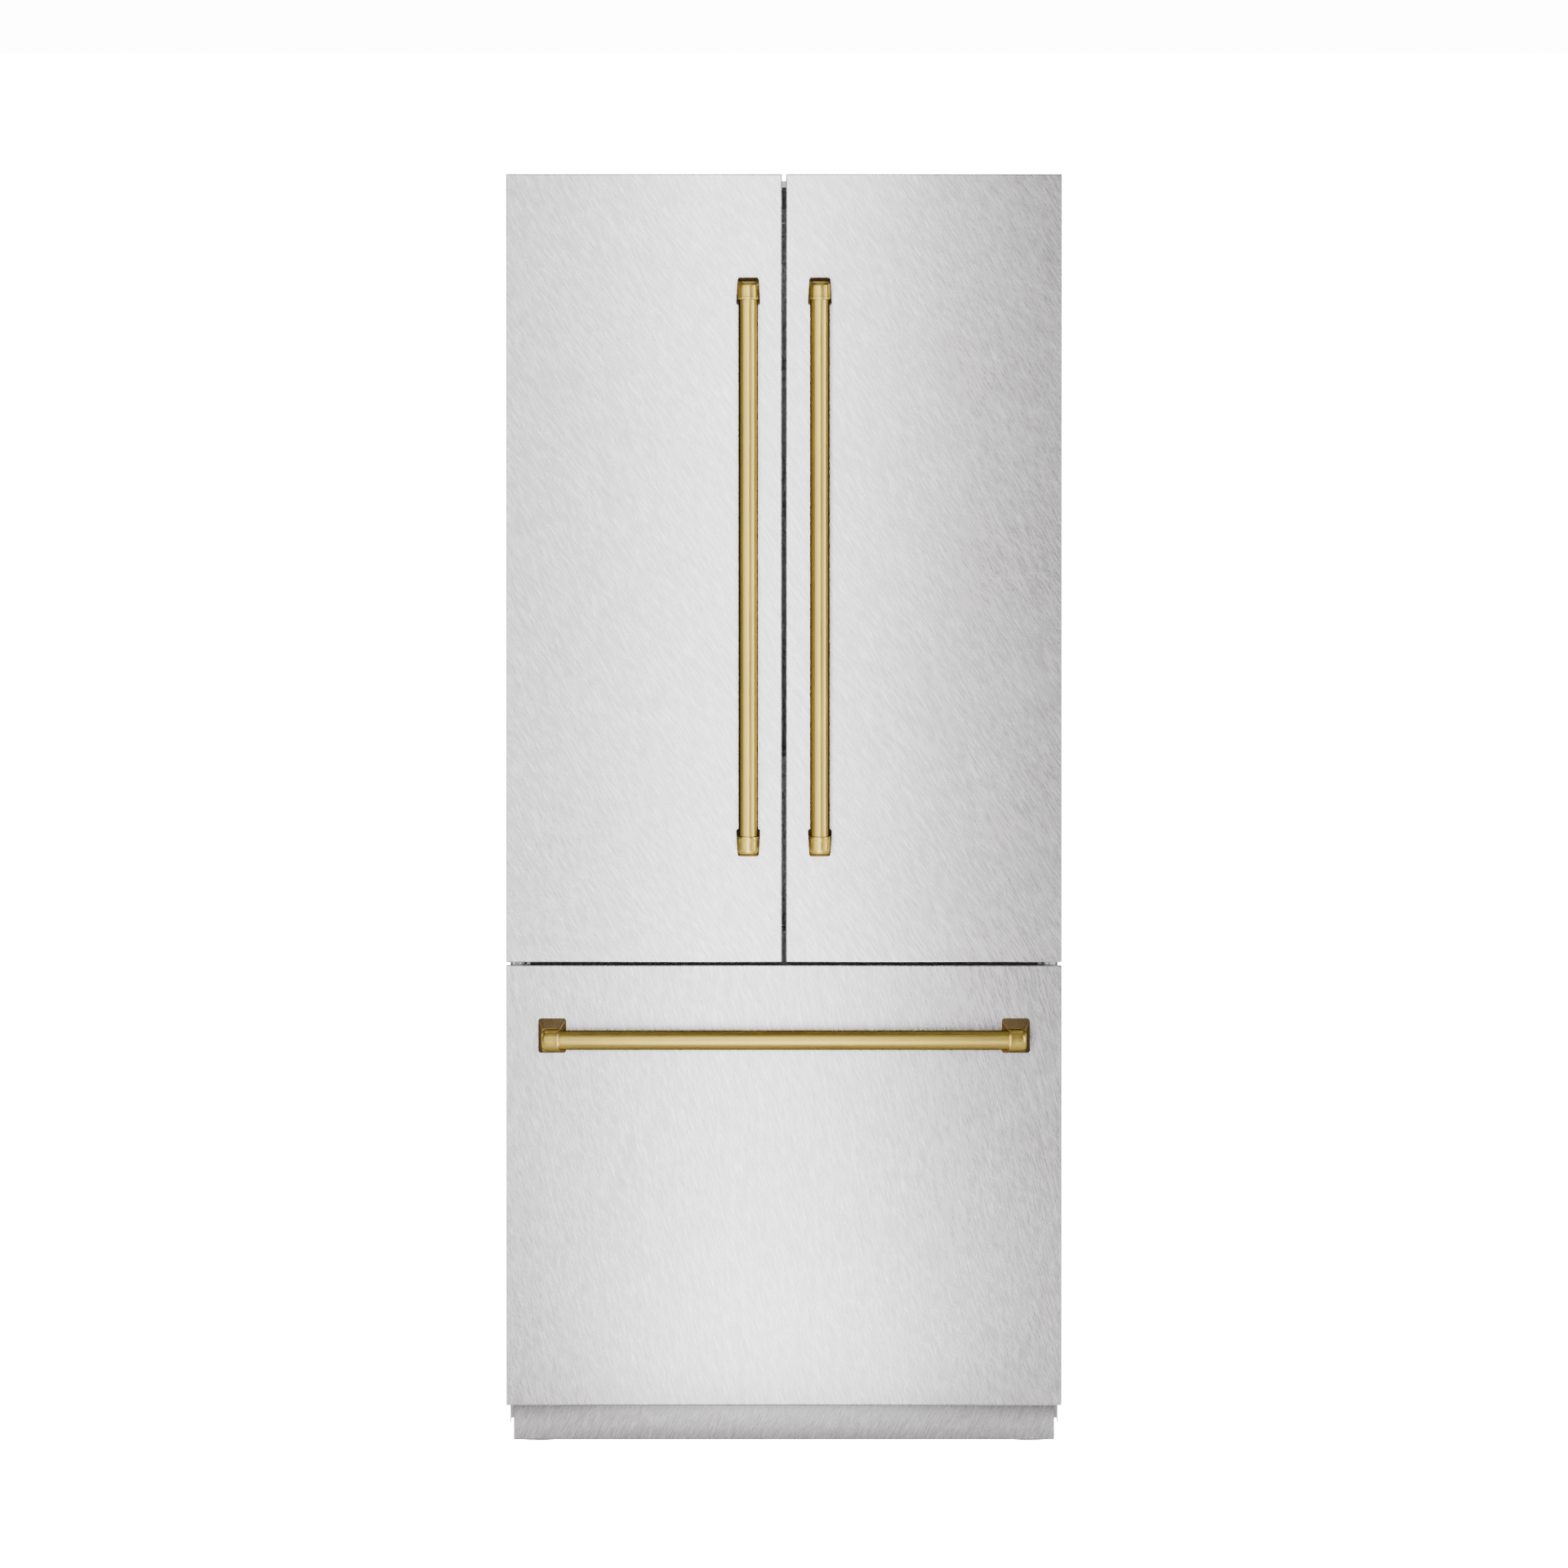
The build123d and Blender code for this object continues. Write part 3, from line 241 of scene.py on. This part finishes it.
# Each layer of scratches: its turn from the main lean in degrees, length, width, where a mark
# starts, where it is full, and its weight.
HAIRLINES = (
    (0, 0.028, 0.0020, 0.42, 0.72, 1.0),
    (8, 0.022, 0.0018, 0.42, 0.72, 0.9),
    (-9, 0.025, 0.0019, 0.42, 0.72, 0.8),
    (40, 0.017, 0.0018, 0.45, 0.75, 0.6),
    (-46, 0.015, 0.0018, 0.45, 0.75, 0.6),
)
STEEL_DEEP, STEEL_MID, STEEL_BRIGHT = (0.52, 0.495, 0.515), (0.59, 0.562, 0.572), (0.98, 0.94, 0.962)
# Colour and depth of the painted shadow on the top of the kick plate.
STEEL_PAINTED_SHADOW = (0.10, 0.096, 0.098)
PAINTED_SHADOW_DEPTH = 0.85
BRONZE_DARK, BRONZE_LIGHT = (0.66, 0.485, 0.125), (0.88, 0.630, 0.122)
# Darker bronze of the painted shade on the post arms, collar rims and end faces.
SHADE_DARK, SHADE_LIGHT = (0.22, 0.17, 0.095), (0.30, 0.235, 0.13)
# Near-black colour of the painted shade on the flanks of bars and posts.
FLANK_PAINTED_SHADE = (0.050, 0.041, 0.024)
BRONZE_EDGE_TINT = (0.10, 0.08, 0.06)


def streaks(tree, vector, turn, length, width, low, high):
    """Fine drawn-out marks of one direction: 0 where the sheet is clean, 1 on a mark."""
    lines = placed(tree, vector, (length, length, width), (0.0, math.radians(turn), 0.0))
    return spread(tree, noise(tree, lines, detail=0.0), low, high)


def scratched_steel(name, lean, tone=1.0, shadow_heights=None):
    """Satin stainless sheet with hairline scratches that wander around one lean.

    The last argument holds the heights between which a painted shadow darkens the sheet upwards, as under
    the drawer.
    """
    material, tree, shader = new_material(name)
    flat = object_space(tree)
    wander = scaled_vector(tree, noise(tree, flat, 1.6, 0.0, output="Color"), 0.02)
    place = added_vectors(tree, flat, wander)
    total = None
    for turn, length, width, low, high, weight in HAIRLINES:
        marks = streaks(tree, place, lean + turn, length, width, low, high)
        marks = calc(tree, "MULTIPLY", marks, weight)
        total = marks if total is None else calc(tree, "ADD", total, marks)
    blotch = noise(tree, place, 5.0, 3.0)
    base = blend_colours(tree, blotch, shaded(STEEL_DEEP, tone), shaded(STEEL_MID, tone))
    bright = spread(tree, total, 0.1, 3.1)
    colour = blend_colours(tree, bright, base, shaded(STEEL_BRIGHT, tone))
    # Painted shadow: the sheet darkens towards its top, where the drawer above shades it.
    if shadow_heights:
        painted_shadow = spread(tree, axis_of(tree, flat, Z_AXIS), *shadow_heights, 0.0, PAINTED_SHADOW_DEPTH)
        colour = blend_colours(tree, painted_shadow, colour, rgba(STEEL_PAINTED_SHADOW))
    rough = spread(tree, total, 0.0, 1.8, 0.25, 0.275)
    rough = calc(tree, "ADD", rough, spread(tree, blotch, 0.3, 0.7, -0.008, 0.008))
    shader.inputs["Metallic"].default_value = 1.0
    feed(tree, shader.inputs["Base Color"], colour)
    feed(tree, shader.inputs["Roughness"], rough)
    set_bump(tree, shader, total, 0.006, 0.0001)
    return material


def brushed_bronze(name, along, across, middle, shaded_flanks, tone=1.0, colours=(BRONZE_DARK, BRONZE_LIGHT)):
    """Champagne bronze brushed lengthwise, with painted shade darkening the flanks of the bar.

    along is the bar's axis, across the one seen square to it, middle the bar's place on that one.
    The flank list holds, for each flank, where the painted shade starts, where it is full and how deep it
    is.
    """
    material, tree, shader = new_material(name)
    place = object_space(tree)
    dark, light = (shaded(colour, tone) for colour in colours)
    fine, coarse = [0.0007] * 3, [0.0022] * 3
    fine[along], coarse[along] = 0.05, 0.12
    lines = noise(tree, placed(tree, place, fine), detail=1.0)
    bands = noise(tree, placed(tree, place, coarse), detail=1.0)
    total = calc(tree, "ADD", calc(tree, "MULTIPLY", lines, 0.6), calc(tree, "MULTIPLY", bands, 0.4))
    tarnish = spread(tree, noise(tree, place, 9.0, 4.0), 0.35, 0.85)
    base = blend_colours(tree, spread(tree, total, 0.35, 0.65), dark, light)
    base = blend_colours(tree, tarnish, base, dark)
    offset = calc(tree, "ABSOLUTE", axis_of(tree, place, across))
    offset = calc(tree, "SUBTRACT", offset, middle)
    # Painted shade: each flank of the bar is darkened by its place across the bar.
    for start, full, depth in shaded_flanks:
        flank = spread(tree, offset, start, full, 0.0, depth)
        base = blend_colours(tree, flank, base, rgba(FLANK_PAINTED_SHADE))
    shader.inputs["Metallic"].default_value = 1.0
    feed(tree, shader.inputs["Base Color"], base)
    feed(tree, shader.inputs["Roughness"], spread(tree, total, 0.3, 0.7, 0.26, 0.35))
    shader.inputs["Specular Tint"].default_value = rgba(BRONZE_EDGE_TINT)
    set_bump(tree, shader, lines, 0.02, 0.0002)
    return material


def moulded(name, colour, roughness, grain, depth, tone=0.08, metal=0.0, scuff=0.0):
    """Painted or moulded surface: slow tone changes, a fine grain and rubbed patches."""
    material, tree, shader = new_material(name)
    place = object_space(tree)
    cloud = noise(tree, place, 4.0, 4.0)
    grainy = noise(tree, place, grain, 2.0)
    shift = spread(tree, cloud, 0.3, 0.7)
    base = blend_colours(tree, shift, shaded(colour, 1.0 - tone), shaded(colour, 1.0 + tone))
    rubbed = noise(tree, placed(tree, place, (0.03, 0.03, 0.004)), detail=3.0)
    rubbed = calc(tree, "MULTIPLY", spread(tree, rubbed, 0.62, 0.78), scuff)
    shader.inputs["Metallic"].default_value = metal
    feed(tree, shader.inputs["Base Color"], blend_colours(tree, rubbed, base, shaded(colour, 1.35)))
    rough = spread(tree, cloud, 0.3, 0.7, roughness - 0.04, roughness + 0.04)
    feed(tree, shader.inputs["Roughness"], calc(tree, "ADD", rough, rubbed, clamp=True))
    set_bump(tree, shader, grainy, depth, 0.0004)
    return material


def galvanised_sheet(name):
    """Zinc coated sheet with crystal spangle."""
    material, tree, shader = new_material(name)
    place = object_space(tree)
    warp = scaled_vector(tree, noise(tree, place, 60.0, 2.0, output="Color"), 0.006)
    spangle = cell_colours(tree, added_vectors(tree, place, warp), 75.0)
    grey = tree.nodes.new("ShaderNodeSeparateColor")
    tree.links.new(spangle, grey.inputs["Color"])
    facet = grey.outputs["Red"]
    drawn = noise(tree, placed(tree, place, (0.0012, 0.0012, 0.05)), detail=2.0)
    base = blend_colours(tree, facet, rgba((0.44, 0.455, 0.47)), rgba((0.60, 0.61, 0.61)))
    shader.inputs["Metallic"].default_value = 0.9
    base = blend_colours(tree, spread(tree, drawn, 0.5, 0.8), base, rgba((0.66, 0.66, 0.65)))
    feed(tree, shader.inputs["Base Color"], base)
    feed(tree, shader.inputs["Roughness"], spread(tree, facet, 0.0, 1.0, 0.38, 0.56))
    set_bump(tree, shader, facet, 0.06, 0.0003)
    return material


def see_through(name, colour, roughness, ior, wear=0.25):
    """Clear plastic or glass with faint flow marks and handling scratches."""
    material, tree, shader = new_material(name)
    place = object_space(tree)
    marks = noise(tree, placed(tree, place, (0.04, 0.003, 0.003), (0.3, 0.2, 0.6)), detail=3.0)
    marks = calc(tree, "MULTIPLY", spread(tree, marks, 0.6, 0.8), wear)
    cloud = noise(tree, place, 6.0, 2.0)
    shader.inputs["Transmission Weight"].default_value = 0.92
    shader.inputs["IOR"].default_value = ior
    tint = blend_colours(tree, cloud, shaded(colour, 0.97), shaded(colour, 1.0))
    feed(tree, shader.inputs["Base Color"], tint)
    feed(tree, shader.inputs["Roughness"], calc(tree, "ADD", marks, roughness))
    set_bump(tree, shader, cloud, 0.05, 0.002)
    return material


def two_tone_liner(name, inside, edge, split_y):
    """Door shell: white inner moulding, with a side cap in front of split_y, a real cap made near black
    as painted shade for the gaps between the doors.
    """
    material, tree, shader = new_material(name)
    place = object_space(tree)
    back = spread(tree, axis_of(tree, place, Y_AXIS), split_y - 0.0006, split_y - 0.0002)
    cloud = noise(tree, place, 4.0, 4.0)
    skin = noise(tree, place, 260.0, 2.0)
    white = blend_colours(tree, cloud, shaded(inside, 0.96), shaded(inside, 1.02))
    dark = blend_colours(tree, cloud, shaded(edge, 0.9), shaded(edge, 1.1))
    feed(tree, shader.inputs["Base Color"], blend_colours(tree, back, dark, white))
    feed(tree, shader.inputs["Roughness"], spread(tree, cloud, 0.3, 0.7, 0.26, 0.36))
    set_bump(tree, shader, skin, 0.05, 0.0008)
    return material


def lamp_cover(name):
    material, tree, shader = new_material(name)
    place = object_space(tree)
    prisms = noise(tree, placed(tree, place, (0.004, 0.5, 0.5)), detail=0.0)
    tint = blend_colours(tree, prisms, rgba((0.9, 0.92, 0.92)), rgba((0.97, 0.97, 0.95)))
    feed(tree, shader.inputs["Base Color"], tint)
    feed(tree, shader.inputs["Roughness"], spread(tree, prisms, 0.3, 0.7, 0.3, 0.45))
    shader.inputs["Emission Color"].default_value = (1.0, 0.96, 0.9, 1.0)
    shader.inputs["Emission Strength"].default_value = 2.5
    set_bump(tree, shader, prisms, 0.3, 0.001)
    return material


def pale_floor(name):
    material, tree, shader = new_material(name)
    place = object_space(tree)
    cloud = noise(tree, place, 1.5, 3.0)
    tint = blend_colours(tree, cloud, rgba((0.90, 0.90, 0.90)), rgba((0.93, 0.93, 0.93)))
    feed(tree, shader.inputs["Base Color"], tint)
    shader.inputs["Roughness"].default_value = 0.8
    shader.inputs["Specular IOR Level"].default_value = 0.1
    shader.inputs["Emission Color"].default_value = (1.0, 1.0, 1.0, 1.0)
    seen = tree.nodes.new("ShaderNodeLightPath").outputs["Is Camera Ray"]
    glow = spread(tree, seen, 0.0, 1.0, FLOOR_GLOW, FLOOR_WHITE)
    tree.links.new(glow, shader.inputs["Emission Strength"])
    return material


WHITE = (0.82, 0.83, 0.83)

STEEL_DOOR = scratched_steel("stainless_upper", 57.0)
# Painted shade: the drawer and kick sheets are darker copies (tone 0.92) of the door's stainless sheet.
STEEL_DRAWER = scratched_steel("stainless_lower", 72.0, 0.92)
# The kick also gets a painted shadow, darkening it towards its top under the drawer.
STEEL_KICK = scratched_steel("stainless_kick", 115.0, 0.92, (0.026, 0.068))
# Painted shade on the flanks, for each flank: where it starts, where it is full and how deep it is.
TUBE_SHADED_FLANKS = ((-0.0120, -0.0150, 0.88), (0.0108, 0.0138, 0.98))
POST_SHADED_FLANKS = ((-0.0158, -0.0180, 0.75), (0.0150, 0.0176, 0.90))
LEVEL_TUBE_SHADED_FLANKS = ((-0.0132, -0.0154, 0.80), (0.0136, 0.0156, 0.80))
LEVEL_POST_SHADED_FLANKS = ((-0.0160, -0.0184, 0.70), (0.0160, 0.0182, 0.45))
UPRIGHT_BAR = (Z_AXIS, X_AXIS, 0.0583)
LEVEL_BAR = (X_AXIS, Z_AXIS, 0.660)
SHADE_COLOURS = (SHADE_DARK, SHADE_LIGHT)
# Painted shade: the level bar and the posts are darker copies of one bronze (tones 0.6, 0.95 and 0.68),
# set for how the light falls on them.
BRONZE_UPRIGHT = brushed_bronze("bronze_upright", *UPRIGHT_BAR, TUBE_SHADED_FLANKS)
BRONZE_LEVEL = brushed_bronze("bronze_level", *LEVEL_BAR, LEVEL_TUBE_SHADED_FLANKS, 0.6)
BRONZE_DOOR_POST = brushed_bronze("bronze_door_post", *UPRIGHT_BAR, POST_SHADED_FLANKS, 0.95)
BRONZE_DRAWER_POST = brushed_bronze("bronze_drawer_post", *LEVEL_BAR, LEVEL_POST_SHADED_FLANKS, 0.68)
DOOR_POST_SHADE = brushed_bronze("bronze_door_shade", *UPRIGHT_BAR, POST_SHADED_FLANKS, 1.3, SHADE_COLOURS)
DRAWER_POST_SHADE = brushed_bronze("bronze_drawer_shade", *LEVEL_BAR, (), 1.5, SHADE_COLOURS)
SIDE_PAINT = moulded("side_paint", (0.235, 0.24, 0.245), 0.42, 700.0, 0.35, scuff=0.12)
FACE_PAINT = moulded("face_paint", (0.20, 0.205, 0.21), 0.4, 800.0, 0.2, scuff=0.1)
GALVANISED = galvanised_sheet("galvanised")
BLACK_PAINT = moulded("black_paint", (0.022, 0.022, 0.024), 0.34, 500.0, 0.15, 0.2, scuff=0.15)
LINER = moulded("white_liner", WHITE, 0.3, 260.0, 0.08, 0.03)
# The near-black cap is partly painted shade for the gaps between the doors.
DOOR_LINER = two_tone_liner("door_shell", WHITE, (0.035, 0.036, 0.038), -0.218)
FOAM = moulded("foam", (0.72, 0.58, 0.30), 0.9, 240.0, 0.6, 0.15)
DARK_PLASTIC = moulded("dark_plastic", (0.03, 0.031, 0.033), 0.46, 1100.0, 0.2, 0.15, scuff=0.1)
GREY_PLASTIC = moulded("grey_plastic", (0.40, 0.41, 0.42), 0.4, 900.0, 0.12, 0.06, scuff=0.08)
WHITE_PLASTIC = moulded("white_plastic", (0.78, 0.79, 0.79), 0.35, 700.0, 0.1, 0.03, scuff=0.06)
CLEAR_PLASTIC = see_through("clear_plastic", (0.97, 0.985, 0.99), 0.04, 1.40)
SHELF_GLASS = see_through("shelf_glass", (0.86, 0.95, 0.91), 0.01, 1.50, 0.1)
RUBBER = moulded("seal_rubber", (0.16, 0.163, 0.168), 0.62, 400.0, 0.15, 0.1, scuff=0.05)
ALUMINIUM = moulded("aluminium", (0.70, 0.71, 0.72), 0.36, 1400.0, 0.08, 0.05, metal=1.0, scuff=0.1)
ZINC_STEEL = moulded("zinc_steel", (0.56, 0.57, 0.58), 0.36, 600.0, 0.12, 0.08, metal=1.0, scuff=0.15)
LAMP_LENS = lamp_cover("lamp_lens")

FINISHES = {
    STEEL_DOOR: ("left_panel", "right_panel"),
    STEEL_DRAWER: ("drawer_panel",),
    STEEL_KICK: ("toe_kick",),
    BRONZE_UPRIGHT: ("left_handle_bar", "right_handle_bar"),
    BRONZE_LEVEL: ("drawer_handle_bar",),
    BRONZE_DOOR_POST: ("left_handle_posts", "right_handle_posts"),
    BRONZE_DRAWER_POST: ("drawer_handle_posts",),
    SIDE_PAINT: ("cabinet_shell",),
    FACE_PAINT: ("front_frame",),
    GALVANISED: ("back_panel", "machine_cover", "base_frame"),
    BLACK_PAINT: ("compressor", "condenser_coil"),
    LINER: ("fridge_liner", "freezer_liner", "rear_duct", "crisper_cover", "evaporator_cover"),
    DOOR_LINER: ("left_liner", "right_liner", "drawer_liner"),
    FOAM: ("cabinet_foam",),
    DARK_PLASTIC: (
        "top_trim", "rear_rollers", "condenser_fan", "fan_shroud", "power_inlet", "evaporator_fan",
    ),
    GREY_PLASTIC: ("drain_pan", "water_valve", "overhead_console", "flipper_mullion"),
    WHITE_PLASTIC: ("water_filter", "ice_maker"),
    CLEAR_PLASTIC: (
        "crisper_left", "crisper_right", "left_bins", "right_bins", "lower_bin", "upper_tray",
    ),
    SHELF_GLASS: ("glass_shelves",),
    RUBBER: ("left_gasket", "right_gasket", "drawer_gasket"),
    ALUMINIUM: ("shelf_frames", "evaporator"),
    ZINC_STEEL: (
        "foot_left", "foot_right", "shelf_tracks", "ice_arm", "rail_outer", "rail_middle",
        "hinge_brackets", "cabinet_screws", "drawer_frame",
    ),
    LAMP_LENS: ("led_lamps",),
}


def dress_nodes():
    for material, names in FINISHES.items():
        for name in names:
            slots = nodes[name].data.materials
            slots.clear()
            slots.append(material)


# ---------------------------------------------------------------- soft edges

WELD_REACH = 0.00002
BEVEL_FROM = math.radians(50)
SOFT_EDGES = {
    0.0010: ("left_panel", "right_panel", "drawer_panel"),
    0.0012: ("fridge_liner", "freezer_liner", "left_liner", "right_liner", "drawer_liner", "rear_duct"),
    0.0008: ("front_frame", "flipper_mullion", "evaporator_cover", "overhead_console", "crisper_cover"),
    0.0006: ("left_bins", "right_bins", "lower_bin", "upper_tray", "crisper_left", "crisper_right"),
}


def soften_edges():
    """Sheet and moulded pieces get a small round on hard edges, as a modifier over the CAD mesh."""
    for width, names in SOFT_EDGES.items():
        for name in names:
            weld = nodes[name].modifiers.new("joined", "WELD")
            weld.merge_threshold = WELD_REACH
            bevel = nodes[name].modifiers.new("rounded", "BEVEL")
            bevel.width = width
            bevel.segments = 2
            bevel.limit_method = "ANGLE"
            bevel.angle_limit = BEVEL_FROM
            bevel.harden_normals = True


# ---------------------------------------------------------------- handle posts

REACH = 0.068
COLLAR = 0.037
COLLAR_LENGTH = 0.029
FOOT_LENGTH = 0.046
FOOT_INSET = -0.0025
DOOR_FOOT = (0.040, 0.0)
DRAWER_FOOT = (0.057, 0.0055)
DOOR_FLARE = ((0.0, 1.0), (0.0025, 0.78), (0.006, 0.55), (0.013, 0.25), (0.022, 0.08), (0.0362, 0.0))
DRAWER_FLARE = ((0.0, 1.0), (0.012, 0.68), (0.024, 0.34), (0.0362, 0.0))
FOOT_TAPER = 0.13
BORE_RADIUS = 0.0161
BORE_DEPTH = 0.0235
CORNER = 0.0045
CORNER_STEPS = 6
CLEARANCE = 0.0002
FRONT_POWER, BACK_POWER = 2.25, 7.0
SMOOTH_BELOW = math.radians(32.0)
LOOP = 72
# Along the collar from its mouth to its outer end: place, and share of its full size.
COLLAR_ENDS = (
    (-0.0145, 0.945), (-0.0143, 0.968), (-0.0138, 0.988), (-0.0130, 1.0), (-0.0100, 0.998),
    (-0.0096, 0.984), (-0.0090, 0.978), (0.0000, 0.970), (0.0080, 0.956), (0.0092, 0.946),
    (0.0102, 0.925), (0.0136, 0.815), (0.0142, 0.785), (0.0145, 0.745),
)
# Collar bands that take the painted shade: the rim at the mouth and the last edge at the outer end.
SHADED_BANDS = (2, 3, 4, 15, 16)


def close_mesh(name, builder):
    """A mesh object from a filled bmesh, smooth except over sharp edges."""
    bmesh.ops.recalc_face_normals(builder, faces=builder.faces)
    mesh = bpy.data.meshes.new(name)
    builder.to_mesh(mesh)
    builder.free()
    mesh.shade_smooth()
    mesh.set_sharp_from_angle(angle=SMOOTH_BELOW)
    thing = bpy.data.objects.new(name, mesh)
    scene.collection.objects.link(thing)
    return thing


def skin(builder, loops, painted_shade_bands, cap_slot=1):
    """Joins loops of points, each the same count, into a closed skin.

    The band list names the bands that take the second material, which is the painted shade on the posts;
    the cap slot is the material of both ends.
    """
    rings = [[builder.verts.new(point) for point in loop] for loop in loops]
    for band, (lower, upper) in enumerate(zip(rings, rings[1:])):
        for index in range(len(lower)):
            after = (index + 1) % len(lower)
            face = builder.faces.new((lower[index], lower[after], upper[after], upper[index]))
            face.material_index = int(band in painted_shade_bands)
    for cap in (rings[0], rings[-1][::-1]):
        builder.faces.new(cap).material_index = cap_slot


def rounded_rectangle(half_u, half_v):
    points = []
    for quarter in range(4):
        sign_u = (1, -1, -1, 1)[quarter]
        sign_v = (1, 1, -1, -1)[quarter]
        for step in range(CORNER_STEPS + 1):
            angle = math.pi / 2 * (quarter + step / CORNER_STEPS)
            points.append((
                sign_u * (half_u - CORNER) + CORNER * math.cos(angle),
                sign_v * (half_v - CORNER) + CORNER * math.sin(angle),
            ))
    return points


def collar_profile(half):
    """Square collar seen along the bar, with a soft front and a flatter back.

    The first value of each point is across the bar and the second is outwards.
    """
    points = []
    for index in range(LOOP):
        angle = 2 * math.pi * index / LOOP
        across, out = math.cos(angle), math.sin(angle)
        power = FRONT_POWER if out > 0 else BACK_POWER
        reach = (abs(across) ** power + abs(out) ** power) ** (-1.0 / power) * half
        points.append((across * reach, out * reach))
    return points


def post_axes(origin, along):
    """A function from along the bar, across it and outwards to a point in the frame."""
    origin, along = Vector(origin), Vector(along)
    outward = Vector((0.0, -1.0, 0.0))
    across = Vector((1.0, 0.0, 0.0)) if abs(along.z) > 0.5 else Vector((0.0, 0.0, 1.0))

    def at(u, v, w):
        return origin + along * u + across * v + outward * w

    return at


def add_foot(builder, at, foot, flare, taper):
    """The arm from the panel to the collar; it spreads on the panel and narrows outwards."""
    width, rise = foot
    loops = []
    for out, share in flare:
        half_u = (COLLAR_LENGTH + (FOOT_LENGTH - COLLAR_LENGTH) * share) / 2 - CLEARANCE
        half_v = (COLLAR + (width - COLLAR) * share) / 2 - CLEARANCE
        loops.append([
            at(u + FOOT_INSET * share, v * (1.0 - taper * (u / half_u + 1.0) / 2.0) + rise * share, out)
            for u, v in rounded_rectangle(half_u, half_v)
        ])
    # Painted shade: every band of the arm takes the shade material.
    skin(builder, loops, range(len(loops)))


def add_collar(builder, at):
    """The collar round the bar's end, with the blind bore that holds the bar."""
    half = COLLAR / 2
    middle = REACH - half
    mouth = -COLLAR_LENGTH / 2
    turns = [2 * math.pi * index / LOOP for index in range(LOOP)]
    circle = [(math.cos(turn), math.sin(turn)) for turn in turns]
    bore = (
        (mouth + BORE_DEPTH, BORE_RADIUS), (mouth + 0.0004, BORE_RADIUS), (mouth, BORE_RADIUS + 0.0003),
    )
    loops = [[at(u, radius * c, middle + radius * s) for c, s in circle] for u, radius in bore]
    for u, share in COLLAR_ENDS:
        # The back of the collar keeps its full size where it joins the arm.
        loop = []
        for v, w in collar_profile(half):
            hold = 1.0 if w < -half * 0.55 else share
            loop.append(at(u, v * share, middle + w * hold))
        loops.append(loop)
    # The listed bands and both ends take the painted shade.
    skin(builder, loops, SHADED_BANDS)


def posts(name, node, bar_node, body, lit_and_shaded_materials, foot, flare, taper):
    """The two posts of one handle, in place of its CAD posts."""
    low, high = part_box(node)
    bar_low, bar_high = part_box(bar_node)
    upright = bar_high.z - bar_low.z > bar_high.x - bar_low.x
    panel_y = high.y
    offset = FOOT_LENGTH / 2 + FOOT_INSET
    middle = (bar_low + bar_high) / 2
    builder = bmesh.new()
    for way in (-1, 1):
        if upright:
            end = (high.z if way > 0 else low.z) - way * offset
            at = post_axes((middle.x, panel_y, end), (0, 0, way))
        else:
            end = (high.x if way > 0 else low.x) - way * offset
            at = post_axes((end, panel_y, middle.z), (way, 0, 0))
        add_foot(builder, at, foot, flare, taper)
        add_collar(builder, at)
    thing = close_mesh(name, builder)
    # The second material is the painted shade on the arms, collar rims and end faces.
    for material in lit_and_shaded_materials:
        thing.data.materials.append(material)
    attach(thing, body)
    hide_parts(node)


# ---------------------------------------------------------------- kick plate and floor

KICK_SHEET = 0.0012
KICK_BEND = 0.0025
KICK_FLOOR_GAP = 0.0028


def bent(centre_y, centre_z, radius, first, last, steps=5):
    """Points round a sheet's bend, angles in degrees from the front and upwards."""
    points = []
    for step in range(steps + 1):
        angle = math.radians(first + (last - first) * step / steps)
        points.append((centre_y - radius * math.cos(angle), centre_z + radius * math.sin(angle)))
    return points


def kick_plate():
    """The kick sheet with its top and bottom flanges, hanging to just over the floor."""
    low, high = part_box("toe_kick")
    bottom = KICK_FLOOR_GAP
    centre_y = low.y + KICK_BEND
    top_z, bottom_z = high.z - KICK_BEND, bottom + KICK_BEND
    inner = KICK_BEND - KICK_SHEET
    outline = [(high.y, high.z)] + bent(centre_y, top_z, KICK_BEND, 90, 0)
    outline += bent(centre_y, bottom_z, KICK_BEND, 0, -90)
    outline += [(high.y, bottom), (high.y, bottom + KICK_SHEET)]
    outline += bent(centre_y, bottom_z, inner, -90, 0) + bent(centre_y, top_z, inner, 0, 90)
    outline += [(high.y, high.z - KICK_SHEET)]
    builder = bmesh.new()
    loops = [[Vector((x, y, z)) for y, z in outline] for x in (low.x, high.x)]
    skin(builder, loops, (), 0)
    thing = close_mesh("kick_plate", builder)
    thing.data.materials.append(STEEL_KICK)
    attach(thing, "cabinet")
    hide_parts("toe_kick")


def add_floor():
    mesh = bpy.data.meshes.new("floor")
    side = FLOOR_HALF_SIDE
    corners = [(-side, -side, 0), (side, -side, 0), (side, side, 0), (-side, side, 0)]
    mesh.from_pydata(corners, [], [(0, 1, 2, 3)])
    mesh.materials.append(pale_floor("pale_floor"))
    floor = bpy.data.objects.new("floor", mesh)
    scene.collection.objects.link(floor)


# ---------------------------------------------------------------- the scene

add_camera()
add_lights()
add_floor()
dress_nodes()
soften_edges()
for side in ("left", "right"):
    posts(
        side + "_door_posts", side + "_handle_posts", side + "_handle_bar", side + "_door",
        (BRONZE_DOOR_POST, DOOR_POST_SHADE), DOOR_FOOT, DOOR_FLARE, FOOT_TAPER,
    )
posts(
    "drawer_posts", "drawer_handle_posts", "drawer_handle_bar", "freezer_drawer",
    (BRONZE_DRAWER_POST, DRAWER_POST_SHADE), DRAWER_FOOT, DRAWER_FLARE, 0.0,
)
kick_plate()
